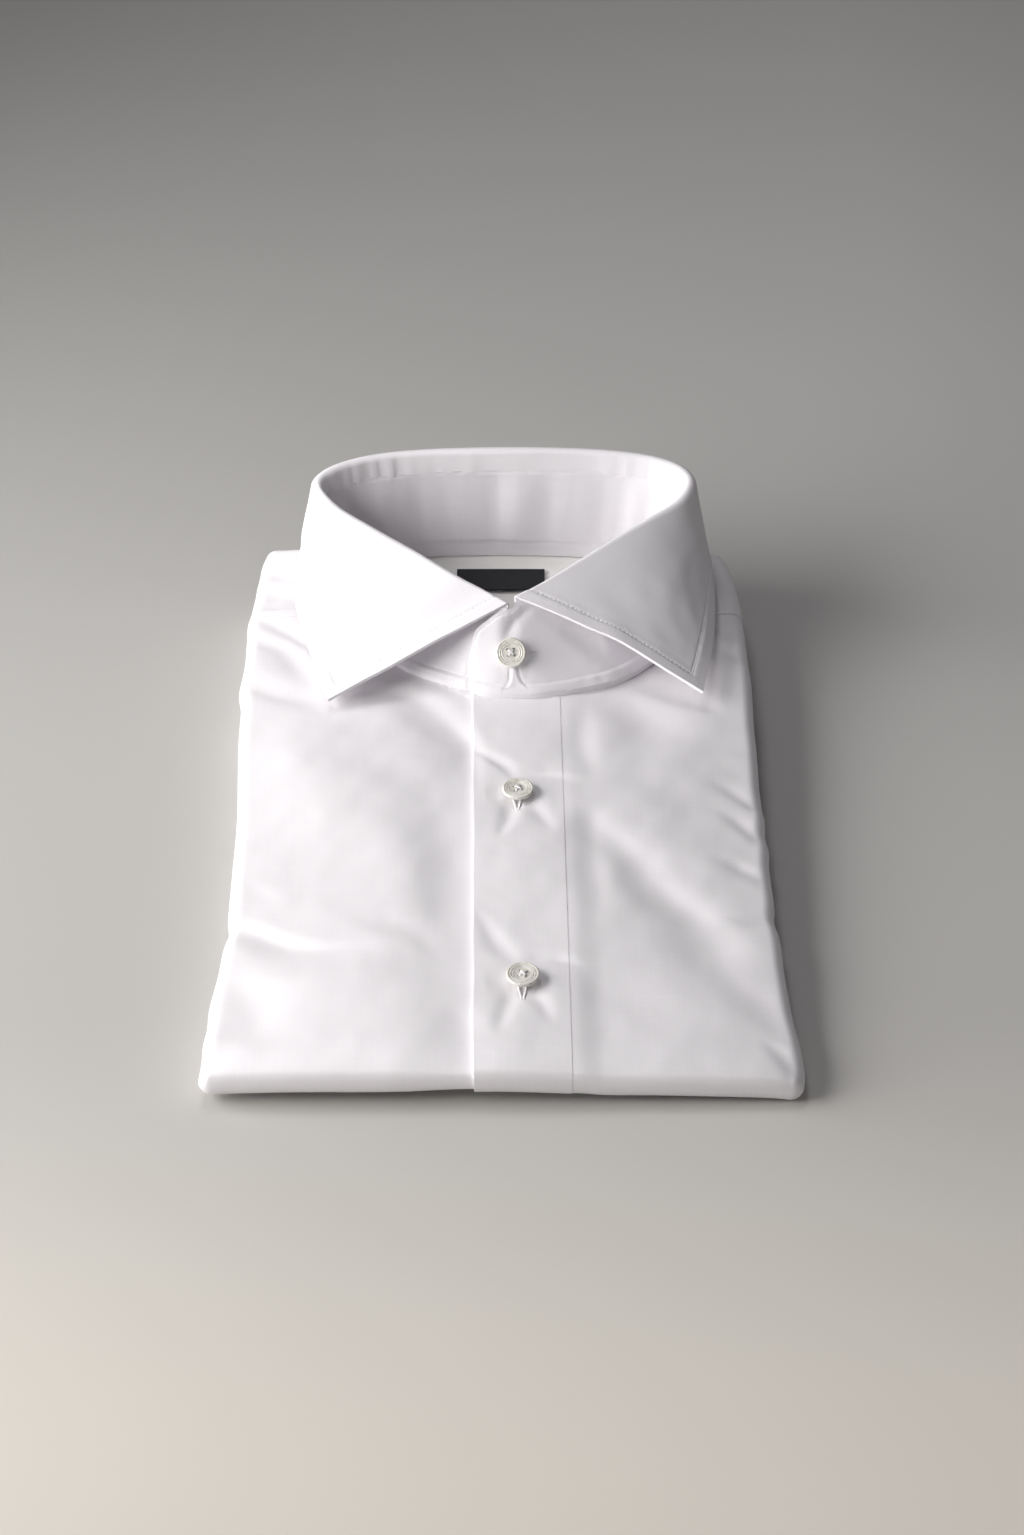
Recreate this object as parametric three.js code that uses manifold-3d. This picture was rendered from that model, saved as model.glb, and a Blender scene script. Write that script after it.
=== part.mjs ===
// A folded dress shirt with a buttoned, standing spread collar, lying on its flat underside.
// Units are millimetres, with +Z up. X runs across the shirt and +Y from the front fold to the collar.
// Each piece of cloth is a thin wall, made from a sheet of points that is given a thickness.
// The hidden back, sleeves and tails are one solid whose edges are layered.
import * as THREE from 'three';
import Module from 'manifold-3d';
import { mergeVertices } from 'three/addons/utils/BufferGeometryUtils.js';

const wasm = await Module();
wasm.setup();

// ---------- Driving dimensions ----------

const FRONT_FOLD_Y = -161;
const BACK_FOLD_Y = 161;
const FRONT_TOP = 15; // height of the top cloth at the front fold
const TOP_SLOPE = 0.056; // rise of the top cloth towards the collar, for each millimetre
const ROLL_RADIUS = 5; // of the folded edge of the top cloth
const ROLL_TURN = (150 * Math.PI) / 180; // how far that edge turns under
const ROLL_STEPS = 5;
const CELL = 10; // size of one cell of a sheet of cloth
const CORE_CELL = 13.5; // and of the hidden layers

const CLOTH_WALL = 1.4;
const SEAM_GAP = 0.3;
const PLACKET_WALL = 2;
const PLACKET_WIDTH = 35;
const PLACKET_LEFT = -11; // left edge of the placket halfway up
const PLACKET_LEAN = 0.0093; // sideways lean of the placket, for each millimetre
const UNDERLAP = 30; // how far the right front runs under the placket
const UNDERLAP_SLACK = 0.4; // extra room between the placket and the cloth under it
const UNDERLAP_RISE = 34; // width over which the right front rises again beside the placket

const YOKE_SEAM_Y = 112;
const YOKE_SEAM_LEAN = 0.045; // the seam runs a little back on the right shoulder

const BAND_WALL = 2;
const BAND_SINK = 1.6; // how far the band reaches below the top cloth
const BAND_UPRIGHT = 1.2; // and how far it stands straight up before it leans
const NECK_CLEAR = 0.35; // between the neck edge of the cloth and the band
const NECK_DEPTH = 7.6; // depth of the hollow inside the neck
const LEAF_WALL = 1.6;
const LEAF_ROLL = 2.4; // radius of the collar's fold
const LEAF_STRIP = 7; // strip of the leaf that shows inside, above the band
const BACK_BULGE = 3.5; // of the leaf at its back
const POINT_BULGE = 2.6; // at its left point, which is pushed out by the right one
const SIDE_BULGE = 0.2; // and at its sides and right point

const INNER_YOKE_WALL = 1.2;
const LABEL = { left: -19.6, right: 18, front: 131, back: 145.5, wall: 0.8, gap: 0.6 };
const BUTTON = { radius: 6.2, height: 3, well: 4.3, floor: 1.9, hole: 0.7, pitch: 2.5 };
const BUTTON_STANDOFF = 0.8; // from the cloth to the button, where its thread shank is
const LAYERS = 3; // folded layers that show at the edge of the hidden solid
const CORE_GAP = 2; // between the top cloth and the hidden layers
const CORE_INSET = 24; // from the outline to the edge of the hidden solid's top grid
const LAYER_INSET = 2; // from the outline to the folded layers that show
const LAYER_HOVER = 12; // how far they stop short of the front fold, which hangs over them

// The whole is centred on its own box.
const MIDDLE = { x: 0.3, y: 9.9 };

// Outline of the folded shirt, seen from above.
const OUTLINE = [
  { y: -161, left: -107, right: 106.5 },
  { y: -155, left: -108, right: 107.5 },
  { y: -146, left: -106.5, right: 108.4 },
  { y: -134, left: -106.3, right: 107.7 },
  { y: -121, left: -106.5, right: 106 },
  { y: -100, left: -103.5, right: 104.7 },
  { y: -78, left: -102.5, right: 103.6 },
  { y: -57, left: -102.7, right: 103.2 },
  { y: -22, left: -103, right: 102.8 },
  { y: 3, left: -104.3, right: 101.8 },
  { y: 35, left: -105.7, right: 102.5 },
  { y: 63, left: -107, right: 102.4 },
  { y: 105, left: -107, right: 102 },
  { y: 123, left: -106, right: 101.5 },
  { y: 152, left: -104, right: 98 },
  { y: 161, left: -101, right: 95 },
];

// The largest folds of the top cloth: soft ridges (rise above 0) and hollows along straight lines.
const FOLDS = [
  { name: 'left shoulder ridge', x1: -101, y1: 106, x2: -80, y2: 88, width: 13, rise: 2 },
  { name: 'hollow under it', x1: -104, y1: 90, x2: -84, y2: 72, width: 13, rise: -1.2 },
  { name: 'left swell', x1: -68, y1: 30, x2: -62, y2: -40, width: 34, rise: 1.6 },
  { name: 'hollow by the placket', x1: -44, y1: 58, x2: -14, y2: 2, width: 22, rise: -2 },
  { name: 'left edge crease', x1: -103, y1: -78, x2: -72, y2: -94, width: 14, rise: -2.4 },
  { name: 'ridge below it', x1: -76, y1: -100, x2: -36, y2: -120, width: 16, rise: 1.2 },
  { name: 'left corner hollow', x1: -92, y1: -120, x2: -74, y2: -146, width: 17, rise: -1.6 },
  { name: 'right hollow', x1: 28, y1: 50, x2: 56, y2: 14, width: 20, rise: -2 },
  { name: 'right ridge', x1: 30, y1: -12, x2: 74, y2: -68, width: 17, rise: 1.6 },
  { name: 'right crease', x1: 52, y1: -52, x2: 96, y2: -110, width: 15, rise: -2 },
  { name: 'pull at the second button', x1: -4, y1: -14, x2: 18, y2: -14, width: 14, rise: -1 },
  { name: 'pull at the third button', x1: -2, y1: -118, x2: 20, y2: -118, width: 14, rise: -1 },
];

// Sections of the collar, from its right front round the back to its left front: the band's foot
// on the neck seam (x, y), the top of the fold (x, y, z), and the leaf's outer edge (x, y, z).
const COLLAR = [
  { name: 'right front', foot: [15, 55.2], fold: [5.4, 83.6, 56.2], edge: [81, 51, 32] },
  { name: 'right 1', foot: [30, 59], fold: [17, 92, 58], edge: [82.5, 60, 32.2] },
  { name: 'right 2', foot: [48, 66.5], fold: [30, 102.5, 60.5], edge: [84.5, 71, 32.5] },
  { name: 'right 3', foot: [64, 82], fold: [45, 114, 64], edge: [86.5, 85, 33] },
  { name: 'right 4', foot: [74, 101], fold: [60, 125, 67.5], edge: [88, 101, 33.7] },
  { name: 'right 5', foot: [78.5, 119], fold: [74, 135.5, 71], edge: [88.7, 119, 34.5] },
  { name: 'right 6', foot: [77.5, 133], fold: [79, 145, 74.5], edge: [88.7, 138, 35.2] },
  { name: 'right 7', foot: [71, 142], fold: [76, 152, 76], edge: [86.5, 154, 34.6] },
  { name: 'right 8', foot: [59, 148.7], fold: [66, 159, 76.7], edge: [78, 168.5, 33.5] },
  { name: 'right 9', foot: [40, 153], fold: [46, 163.5, 77.4], edge: [60, 176, 32.3] },
  { name: 'back', foot: [0, 155], fold: [0, 165, 78], edge: [0, 180, 31] },
  { name: 'left 9', foot: [-40, 153], fold: [-46, 162, 77.5], edge: [-60, 175, 31.5] },
  { name: 'left 8', foot: [-59, 148.7], fold: [-64, 157, 76.6], edge: [-77, 167, 32.6] },
  { name: 'left 7', foot: [-71, 142], fold: [-74, 151, 75.5], edge: [-86, 152, 34] },
  { name: 'left 6', foot: [-77.5, 130], fold: [-78, 144, 74], edge: [-87.2, 136, 34.8] },
  { name: 'left 5', foot: [-76, 113], fold: [-71, 134, 70], edge: [-86, 112, 34] },
  { name: 'left 4', foot: [-67, 97], fold: [-53, 120, 66], edge: [-82, 92, 32.6] },
  { name: 'left 3', foot: [-51, 84], fold: [-36, 109, 62], edge: [-78, 76, 31.6] },
  { name: 'left 2', foot: [-36, 70], fold: [-18, 95, 58.5], edge: [-75, 62, 31.2] },
  { name: 'left 1', foot: [-24, 63.5], fold: [-6.5, 88, 56], edge: [-72.5, 54, 31] },
  { name: 'left front', foot: [-14, 59.8], fold: [1.6, 80.9, 55.3], edge: [-70, 47, 31] },
];

// The band's outer end, from its rounded tip to where it joins the sections above.
const BAND_TAB = [
  { name: 'rounded tip', foot: [-12.6, 56.6], head: [-13, 64.1, 38.2] },
  { name: 'shoulder of the tip', foot: [-9.5, 55.8], head: [-10.6, 72.6, 47.2] },
  { name: 'top of the tip', foot: [-5.5, 55.3], head: [-6, 74.3, 48.6] },
  { name: 'tab', foot: [-1, 55], head: [-0.5, 74.4, 47.6] },
  { name: 'under the button', foot: [7, 54.8], head: [5, 78.6, 50.2] },
];

// The band's inner end, which lies behind the tab.
const BAND_UNDER = [
  { name: 'behind the tab', foot: [-3, 58.2], head: [4.5, 81.2, 46.2] },
  { name: 'inner end', foot: [16, 59], head: [14.5, 85.6, 45] },
];

// ---------- Surfaces ----------

function clamp01(t) {
  return Math.min(1, Math.max(0, t));
}

function smooth(t) {
  const s = clamp01(t);
  return s * s * (3 - 2 * s);
}

function mix(a, b, t) {
  return a + (b - a) * t;
}

// One column of the outline table, between its rows.
function outlineAt(y, side) {
  const next = OUTLINE.findIndex((row) => row.y >= y);
  if (next <= 0) {
    return next < 0 ? OUTLINE[OUTLINE.length - 1][side] : OUTLINE[0][side];
  }
  const a = OUTLINE[next - 1];
  const b = OUTLINE[next];
  return mix(a[side], b[side], (y - a.y) / (b.y - a.y));
}

// How far a point is from the line of a fold.
function distanceToFold(fold, x, y) {
  const dx = fold.x2 - fold.x1;
  const dy = fold.y2 - fold.y1;
  const along = clamp01(((x - fold.x1) * dx + (y - fold.y1) * dy) / (dx * dx + dy * dy));
  return Math.hypot(x - fold.x1 - along * dx, y - fold.y1 - along * dy);
}

function flatTop(y) {
  return FRONT_TOP + TOP_SLOPE * (y - FRONT_FOLD_Y);
}

// Height of the top cloth.
function topHeight(x, y) {
  let z = flatTop(y);
  for (const fold of FOLDS) {
    const near = 1 - (distanceToFold(fold, x, y) / fold.width) ** 2;
    if (near > 0) {
      z += fold.rise * near * near;
    }
  }
  return z;
}

function placketLeft(y) {
  return PLACKET_LEFT - PLACKET_LEAN * y;
}

// How far the right front lies below the top cloth, so that the placket can lie on it.
function underlapDip(x, y) {
  const beside = placketLeft(y) - 1 - x;
  return (PLACKET_WALL + UNDERLAP_SLACK) * smooth(1 - beside / UNDERLAP_RISE);
}

function yokeSeam(x) {
  return YOKE_SEAM_Y + YOKE_SEAM_LEAN * Math.max(0, x);
}

// ---------- Sheets and walls ----------

function cells(length, size = CELL) {
  return Math.round(length / size);
}

function newSheet() {
  return { points: [], faces: [] };
}

// A grid of cells. place(u, v) gives a point for u and v from 0 to 1. Returns the point numbers.
function addGrid(sheet, columns, rows, place) {
  const at = [];
  for (let j = 0; j <= rows; j += 1) {
    at.push([]);
    for (let i = 0; i <= columns; i += 1) {
      at[j].push(sheet.points.push(place(i / columns, j / rows)) - 1);
    }
  }
  for (let j = 0; j < rows; j += 1) {
    for (let i = 0; i < columns; i += 1) {
      sheet.faces.push([at[j][i], at[j][i + 1], at[j + 1][i + 1], at[j + 1][i]]);
    }
  }
  return at;
}

// Rings of cells outward from a chain of the grid's edge points. A ring gives its reach outward,
// then its height there. A corner is in the chain once for each of its directions.
function addRings(sheet, chain, rings, closed = false) {
  let last = chain.map((link) => link.point);
  for (const ring of rings) {
    const next = chain.map((link) => {
      const from = sheet.points[link.point];
      const reach = ring.reach(link, from);
      const to = from.clone();
      to.x += link.side.x * reach;
      to.y += link.side.y * reach;
      to.z = ring.height(to, from);
      return sheet.points.push(to) - 1;
    });
    const count = closed ? chain.length : chain.length - 1;
    for (let i = 0; i < count; i += 1) {
      const j = (i + 1) % chain.length;
      const face = [last[i], next[i], next[j], last[j]];
      sheet.faces.push(last[i] === last[j] ? face.slice(0, 3) : face);
    }
    last = next;
  }
  return last;
}

const SIDES = {
  left: new THREE.Vector2(-1, 0),
  front: new THREE.Vector2(0, -1),
  right: new THREE.Vector2(1, 0),
  back: new THREE.Vector2(0, 1),
};

// The chain along the named sides of a grid, counterclockwise, with a fan at each corner.
function edgeChain(at, names, fan = 2, stretch = 0) {
  const lines = {
    left: at.map((row) => row[0]).reverse(),
    front: at[0],
    right: at.map((row) => row[row.length - 1]),
    back: [...at[at.length - 1]].reverse(),
  };
  const chain = [];
  names.forEach((name, n) => {
    lines[name].forEach((point) => chain.push({ point, side: SIDES[name] }));
    const next = names[n + 1];
    for (let k = 1; next && k < fan; k += 1) {
      const turn = (k / fan) * (Math.PI / 2);
      const side = SIDES[name]
        .clone()
        .multiplyScalar(Math.cos(turn))
        .addScaledVector(SIDES[next], Math.sin(turn));
      side.multiplyScalar(1 + stretch * Math.sin(2 * turn));
      chain.push({ point: lines[name][lines[name].length - 1], side });
    }
  });
  return chain;
}

// The rings of a folded edge that turns outward, down and under.
function rollRings(radiusAt) {
  return Array.from({ length: ROLL_STEPS }, (_, k) => {
    const turn = (ROLL_TURN * (k + 1)) / ROLL_STEPS;
    return {
      reach: (link, from) => radiusAt(from.x, from.y) * Math.sin(turn),
      height: (to, from) => from.z - radiusAt(from.x, from.y) * (1 - Math.cos(turn)),
    };
  });
}

function triangles(face) {
  const [a, b, c, d] = face;
  return d === undefined ? [[a, b, c]] : [[a, b, c], [a, c, d]];
}

function pointNormals(sheet) {
  const normals = sheet.points.map(() => new THREE.Vector3());
  for (const face of sheet.faces) {
    for (const [a, b, c] of triangles(face)) {
      const [pa, pb, pc] = [sheet.points[a], sheet.points[b], sheet.points[c]];
      const normal = pb.clone().sub(pa).cross(pc.clone().sub(pa));
      [a, b, c].forEach((n) => normals[n].add(normal));
    }
  }
  return normals.map((normal) => normal.normalize());
}

function geometryOf(points, faces) {
  const geometry = new THREE.BufferGeometry();
  const flat = points.flatMap((p) => [p.x, p.y, p.z]);
  geometry.setAttribute('position', new THREE.Float32BufferAttribute(flat, 3));
  geometry.setIndex(faces.flatMap((face) => triangles(face)).flat());
  geometry.computeVertexNormals();
  return geometry;
}

// A closed wall between the sheet moved out and the sheet moved in.
function wallOf(sheet, outward, inward) {
  const count = sheet.points.length;
  const normals = pointNormals(sheet);
  const outer = sheet.points.map((p, n) => p.clone().addScaledVector(normals[n], outward));
  const inner = sheet.points.map((p, n) => p.clone().addScaledVector(normals[n], -inward));
  const faces = [...sheet.faces];
  const edges = new Set();
  for (const face of sheet.faces) {
    faces.push([...face].reverse().map((n) => n + count));
    face.forEach((a, k) => edges.add(`${a},${face[(k + 1) % face.length]}`));
  }
  for (const edge of edges) {
    const [a, b] = edge.split(',').map(Number);
    if (!edges.has(`${b},${a}`)) {
      faces.push([b, a, a + count, b + count]);
    }
  }
  return geometryOf([...outer, ...inner], faces);
}

// ---------- Booleans ----------

function solidOf(geometry) {
  const bare = geometry.clone();
  bare.deleteAttribute('normal');
  bare.deleteAttribute('uv');
  const merged = mergeVertices(bare, 1e-4);
  return new wasm.Manifold(new wasm.Mesh({
    numProp: 3,
    vertProperties: new Float32Array(merged.attributes.position.array),
    triVerts: new Uint32Array(merged.index.array),
  }));
}

function cut(geometry, ...cutters) {
  let solid = solidOf(geometry);
  for (const cutter of cutters) {
    solid = solid.subtract(solidOf(cutter));
  }
  const mesh = solid.getMesh();
  const result = new THREE.BufferGeometry();
  result.setAttribute('position', new THREE.BufferAttribute(mesh.vertProperties, 3));
  result.setIndex(new THREE.BufferAttribute(mesh.triVerts, 1));
  result.computeVertexNormals();
  return result;
}

// ---------- The neck ----------

// The neck seam, seen from above: the tab's feet, then the feet of the collar's sections.
function neckLoop(outward) {
  const feet = [...BAND_TAB, ...COLLAR.slice(0, -1)];
  const curve = new THREE.CatmullRomCurve3(
    feet.map((row) => new THREE.Vector3(...row.foot, 0)),
    true,
    'centripetal',
  );
  const points = curve.getPoints(feet.length * 2);
  points.pop();
  return points.map((p, n) => {
    const before = points[(n + points.length - 1) % points.length];
    const after = points[(n + 1) % points.length];
    const along = after.clone().sub(before).normalize();
    return new THREE.Vector2(p.x + along.y * outward, p.y - along.x * outward);
  });
}

// The hollow that the neck leaves in the top cloth and in the layers under it.
function neckCutter() {
  const hollow = new THREE.ExtrudeGeometry(
    new THREE.Shape(neckLoop(BAND_WALL / 2 + NECK_CLEAR)),
    { depth: 40, bevelEnabled: false },
  );
  const position = hollow.attributes.position;
  for (let n = 0; n < position.count; n += 1) {
    position.setZ(n, position.getZ(n) + flatTop(position.getY(n)) - NECK_DEPTH);
  }
  return hollow;
}

// ---------- Fronts, placket and yoke ----------

const GRID_FRONT = FRONT_FOLD_Y + ROLL_RADIUS;
const GRID_BACK = BACK_FOLD_Y - ROLL_RADIUS;
const HALF_WIDTH = 103;
const FRONT_ROWS = cells(YOKE_SEAM_Y - GRID_FRONT);
const PLACKET_TOP = 62; // inside the neck, where the placket is cut away

function gridLeft(y) {
  return outlineAt(y, 'left') + ROLL_RADIUS;
}

function gridRight(y) {
  return outlineAt(y, 'right') - ROLL_RADIUS;
}

function rightFront() {
  const sheet = newSheet();
  const dipped = (x, y) => topHeight(x, y) - underlapDip(x, y);
  const at = addGrid(sheet, cells(HALF_WIDTH + UNDERLAP), FRONT_ROWS, (u, v) => {
    const middle = mix(GRID_FRONT, YOKE_SEAM_Y, v);
    const x = mix(gridLeft(middle), placketLeft(middle) + UNDERLAP, u);
    const y = mix(GRID_FRONT, yokeSeam(x) - SEAM_GAP / 2, v);
    return new THREE.Vector3(x, y, dipped(x, y));
  });
  const radius = (x, y) => ROLL_RADIUS - underlapDip(x, y);
  addRings(sheet, edgeChain(at, ['left', 'front']), rollRings(radius));
  return cut(wallOf(sheet, 0, CLOTH_WALL), neckCutter());
}

function leftFront() {
  const sheet = newSheet();
  const at = addGrid(sheet, cells(HALF_WIDTH - PLACKET_WIDTH / 2), FRONT_ROWS, (u, v) => {
    const middle = mix(GRID_FRONT, YOKE_SEAM_Y, v);
    const x = mix(placketLeft(middle) + PLACKET_WIDTH + SEAM_GAP, gridRight(middle), u);
    const y = mix(GRID_FRONT, yokeSeam(x) - SEAM_GAP / 2, v);
    return new THREE.Vector3(x, y, topHeight(x, y));
  });
  addRings(sheet, edgeChain(at, ['front', 'right']), rollRings(() => ROLL_RADIUS));
  return cut(wallOf(sheet, 0, CLOTH_WALL), neckCutter());
}

function frontPlacket() {
  const sheet = newSheet();
  const rows = cells(PLACKET_TOP - GRID_FRONT);
  const at = addGrid(sheet, 4, rows, (u, v) => {
    const y = mix(GRID_FRONT, PLACKET_TOP, v);
    const x = placketLeft(y) + PLACKET_WIDTH * u;
    return new THREE.Vector3(x, y, topHeight(x, y));
  });
  addRings(sheet, edgeChain(at, ['front']), rollRings(() => ROLL_RADIUS));
  return cut(wallOf(sheet, 0, PLACKET_WALL), neckCutter());
}

function yoke() {
  const sheet = newSheet();
  const at = addGrid(sheet, cells(2 * HALF_WIDTH), cells(GRID_BACK - YOKE_SEAM_Y), (u, v) => {
    const middle = mix(YOKE_SEAM_Y, GRID_BACK, v);
    const x = mix(gridLeft(middle), gridRight(middle), u);
    const y = mix(yokeSeam(x) + SEAM_GAP / 2, GRID_BACK, v);
    return new THREE.Vector3(x, y, topHeight(x, y));
  });
  addRings(sheet, edgeChain(at, ['right', 'back', 'left']), rollRings(() => ROLL_RADIUS));
  return cut(wallOf(sheet, 0, CLOTH_WALL), neckCutter());
}

// ---------- Inner yoke and label ----------

const NECK_MIDDLE = { x: 0, y: 106 };

// How far the inner yoke lies below the top cloth. reach is 0 in its middle and 1 at its edge.
function innerYokeDepth(reach, y) {
  const middle = mix(5.2, 3.4, smooth((y - 70) / 60));
  return mix(middle, 2, smooth((reach - 0.84) / 0.16));
}

function innerYoke() {
  const sheet = newSheet();
  const rim = neckLoop(-BAND_WALL / 2 - SEAM_GAP - 0.4).filter((_, n) => n % 2 === 0);
  const clearOfUnderEnd = 3.4;
  const pulled = rim.map((p) => {
    const front = smooth((72 - p.y) / 12);
    return new THREE.Vector2(p.x, p.y + clearOfUnderEnd * front);
  });
  const place = (p, reach) => {
    const x = mix(NECK_MIDDLE.x, p.x, reach);
    const y = mix(NECK_MIDDLE.y, p.y, reach);
    return new THREE.Vector3(x, y, flatTop(y) - innerYokeDepth(reach, y));
  };
  const reaches = [0.45, 0.82, 0.92, 1];
  const centre = sheet.points.push(place(pulled[0], 0)) - 1;
  let last = null;
  for (const reach of reaches) {
    const ring = pulled.map((p) => sheet.points.push(place(p, reach)) - 1);
    ring.forEach((point, n) => {
      const next = (n + 1) % ring.length;
      sheet.faces.push(last ? [last[n], point, ring[next], last[next]] : [centre, point, ring[next]]);
    });
    last = ring;
  }
  return wallOf(sheet, 0, INNER_YOKE_WALL);
}

function neckLabel() {
  const sheet = newSheet();
  addGrid(sheet, 6, 3, (u, v) => {
    const x = mix(LABEL.left, LABEL.right, u);
    const y = mix(LABEL.front, LABEL.back, v);
    return new THREE.Vector3(x, y, flatTop(y) - innerYokeDepth(0, y) + LABEL.gap);
  });
  return wallOf(sheet, LABEL.wall, 0);
}

// ---------- Collar ----------

const FINE = 2; // sections made between two rows of the collar table

// A foot of the band, at the height where the band begins to lean.
function footAt([x, y]) {
  return new THREE.Vector3(x, y, flatTop(y) + BAND_UPRIGHT);
}

// Smooth sections through the rows of the collar table.
function collarSections() {
  const feet = new THREE.CatmullRomCurve3(COLLAR.map((row) => footAt(row.foot)));
  const folds = new THREE.CatmullRomCurve3(COLLAR.map((row) => new THREE.Vector3(...row.fold)));
  const edges = new THREE.CatmullRomCurve3(COLLAR.map((row) => new THREE.Vector3(...row.edge)));
  const count = (COLLAR.length - 1) * FINE;
  return Array.from({ length: count + 1 }, (_, n) => ({
    foot: feet.getPoint(n / count),
    fold: folds.getPoint(n / count),
    edge: edges.getPoint(n / count),
  }));
}

// The directions of a section: down the leaf, down the band, up, and out across the fold.
function sectionFrame({ foot, fold, edge }) {
  const fall = edge.clone().sub(fold).normalize();
  const stand = foot.clone().sub(fold).normalize();
  const up = fall.clone().add(stand).normalize().negate();
  const out = fall.clone().addScaledVector(up, -fall.dot(up)).normalize();
  const centre = fold.clone().addScaledVector(up, -LEAF_ROLL);
  const inside = centre.clone().addScaledVector(out, -LEAF_ROLL);
  const bulge = out.clone().addScaledVector(fall, -out.dot(fall)).normalize();
  const point = fold.x > 0 ? POINT_BULGE : SIDE_BULGE;
  const middle = fold.y > 140 ? BACK_BULGE : point;
  bulge.multiplyScalar(mix(middle, SIDE_BULGE, smooth((Math.abs(fold.x) - 42) / 28)));
  return { fall, stand, up, out, centre, inside, bulge };
}

// Middle line of the leaf, from its outer edge over the fold to its inner seam.
function leafLine(section) {
  const frame = sectionFrame(section);
  const start = frame.centre.clone().addScaledVector(frame.out, LEAF_ROLL);
  const line = [0, 0.16, 0.36, 0.58, 0.8].map((t) => section.edge.clone().lerp(start, t)
    .addScaledVector(frame.bulge, Math.sin(Math.PI * t)));
  for (const turn of [0, 45, 90, 135, 180]) {
    const angle = (turn * Math.PI) / 180;
    line.push(frame.centre.clone()
      .addScaledVector(frame.out, LEAF_ROLL * Math.cos(angle))
      .addScaledVector(frame.up, LEAF_ROLL * Math.sin(angle)));
  }
  line.push(frame.inside.clone().addScaledVector(frame.stand, LEAF_STRIP));
  return line;
}

function sheetOfLines(lines) {
  const sheet = newSheet();
  const columns = lines.length - 1;
  const rows = lines[0].length - 1;
  addGrid(sheet, columns, rows, (u, v) => lines[Math.round(u * columns)][Math.round(v * rows)]);
  return sheet;
}

function collarLeaf() {
  const lines = collarSections().map(leafLine);
  return wallOf(sheetOfLines(lines), LEAF_WALL / 2, LEAF_WALL / 2);
}

// Middle line of the band at one section, from below the neck seam to its head.
function bandLine(foot, head) {
  const low = foot.clone();
  low.z -= BAND_UPRIGHT + BAND_SINK;
  return [low, foot, ...[0.3, 0.6, 0.8, 1].map((t) => foot.clone().lerp(head, t))];
}

function endLine({ foot, head }) {
  return bandLine(footAt(foot), new THREE.Vector3(...head));
}

function collarBand() {
  const around = collarSections().map((section) => {
    const frame = sectionFrame(section);
    const head = frame.inside.clone().addScaledVector(frame.stand, LEAF_STRIP + 2 * SEAM_GAP);
    return bandLine(section.foot, head);
  });
  const lines = [...BAND_TAB.map(endLine), ...around, ...BAND_UNDER.map(endLine)];
  return wallOf(sheetOfLines(lines), BAND_WALL / 2, BAND_WALL / 2);
}

// ---------- Buttons ----------

function buttonGeometry() {
  const { radius, height, well, floor, hole, pitch } = BUTTON;
  const profile = [
    [0, 0],
    [radius - 1.4, 0],
    [radius, 1],
    [radius, height - 0.8],
    [radius - 0.8, height],
    [well + 0.6, height],
    [well, height - 0.6],
    [well - 0.7, floor],
    [0, floor],
  ].map(([r, z]) => new THREE.Vector2(r, z));
  const disc = new THREE.LatheGeometry(profile, 18).rotateX(Math.PI / 2);
  const holes = [];
  for (const sx of [-1, 1]) {
    for (const sy of [-1, 1]) {
      const drill = new THREE.CylinderGeometry(hole, hole, 3 * height, 6).rotateX(Math.PI / 2);
      holes.push(drill.translate((sx * pitch) / 2, (sy * pitch) / 2, height / 2));
    }
  }
  return cut(disc, ...holes);
}

const UP = new THREE.Vector3(0, 0, 1);
const COLLAR_BUTTON_X = 3.6;

function placeButton(mesh, seat, normal) {
  mesh.quaternion.setFromUnitVectors(UP, normal);
  mesh.position.copy(seat).addScaledVector(normal, BUTTON_STANDOFF);
}

// Where the collar button sits: on the front of the tab, halfway up.
function collarButtonSeat() {
  const row = BAND_TAB[BAND_TAB.length - 1];
  const foot = footAt(row.foot);
  const head = new THREE.Vector3(...row.head);
  const along = head.clone().sub(foot).normalize();
  const normal = new THREE.Vector3(1, 0, 0).cross(along).normalize();
  const seat = foot.lerp(head, 0.5);
  seat.x = COLLAR_BUTTON_X;
  return { seat: seat.addScaledVector(normal, BAND_WALL / 2), normal };
}

function topSeat(x, y) {
  const normal = new THREE.Vector3(0, -TOP_SLOPE, 1).normalize();
  return { seat: new THREE.Vector3(x, y, flatTop(y)), normal };
}

// ---------- Hidden layers ----------

// Height of the hidden layers under the top cloth. They rise again just right of the placket.
function coreTop(x, y) {
  const riseEnd = placketLeft(y) + PLACKET_WIDTH + CORE_CELL;
  const underPlacket = smooth((riseEnd - x) / (CORE_CELL - 2));
  return topHeight(x, y) - underlapDip(x, y) * underPlacket - CLOTH_WALL - CORE_GAP;
}

// Lower layers that reach out a little further than the rest.
const PEEKS = [
  { side: 'left', y: 63, spread: 22, reach: 1.2 },
  { side: 'left', y: -52, spread: 26, reach: 1.4 },
  { side: 'right', y: -152, spread: 12, reach: 3.5 },
];

function peek(link, from) {
  const side = link.side.x < 0 ? 'left' : 'right';
  const bumps = PEEKS.filter((p) => p.side === side)
    .map((p) => p.reach * smooth(1 - Math.abs(from.y - p.y) / p.spread));
  return Math.abs(link.side.x) * Math.max(0, ...bumps);
}

// One ring of the hidden solid, at a share of the height below the top cloth's folded edge.
function layerRing(share, inset) {
  return {
    reach: (link, from) => {
      const hover = LAYER_HOVER * Math.max(0, -link.side.y) ** 2;
      return CORE_INSET - inset - hover + (inset === LAYER_INSET ? peek(link, from) : 0);
    },
    height: (to) => share * (topHeight(to.x, to.y) - 2 * ROLL_RADIUS - 2 * SEAM_GAP),
  };
}

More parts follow.
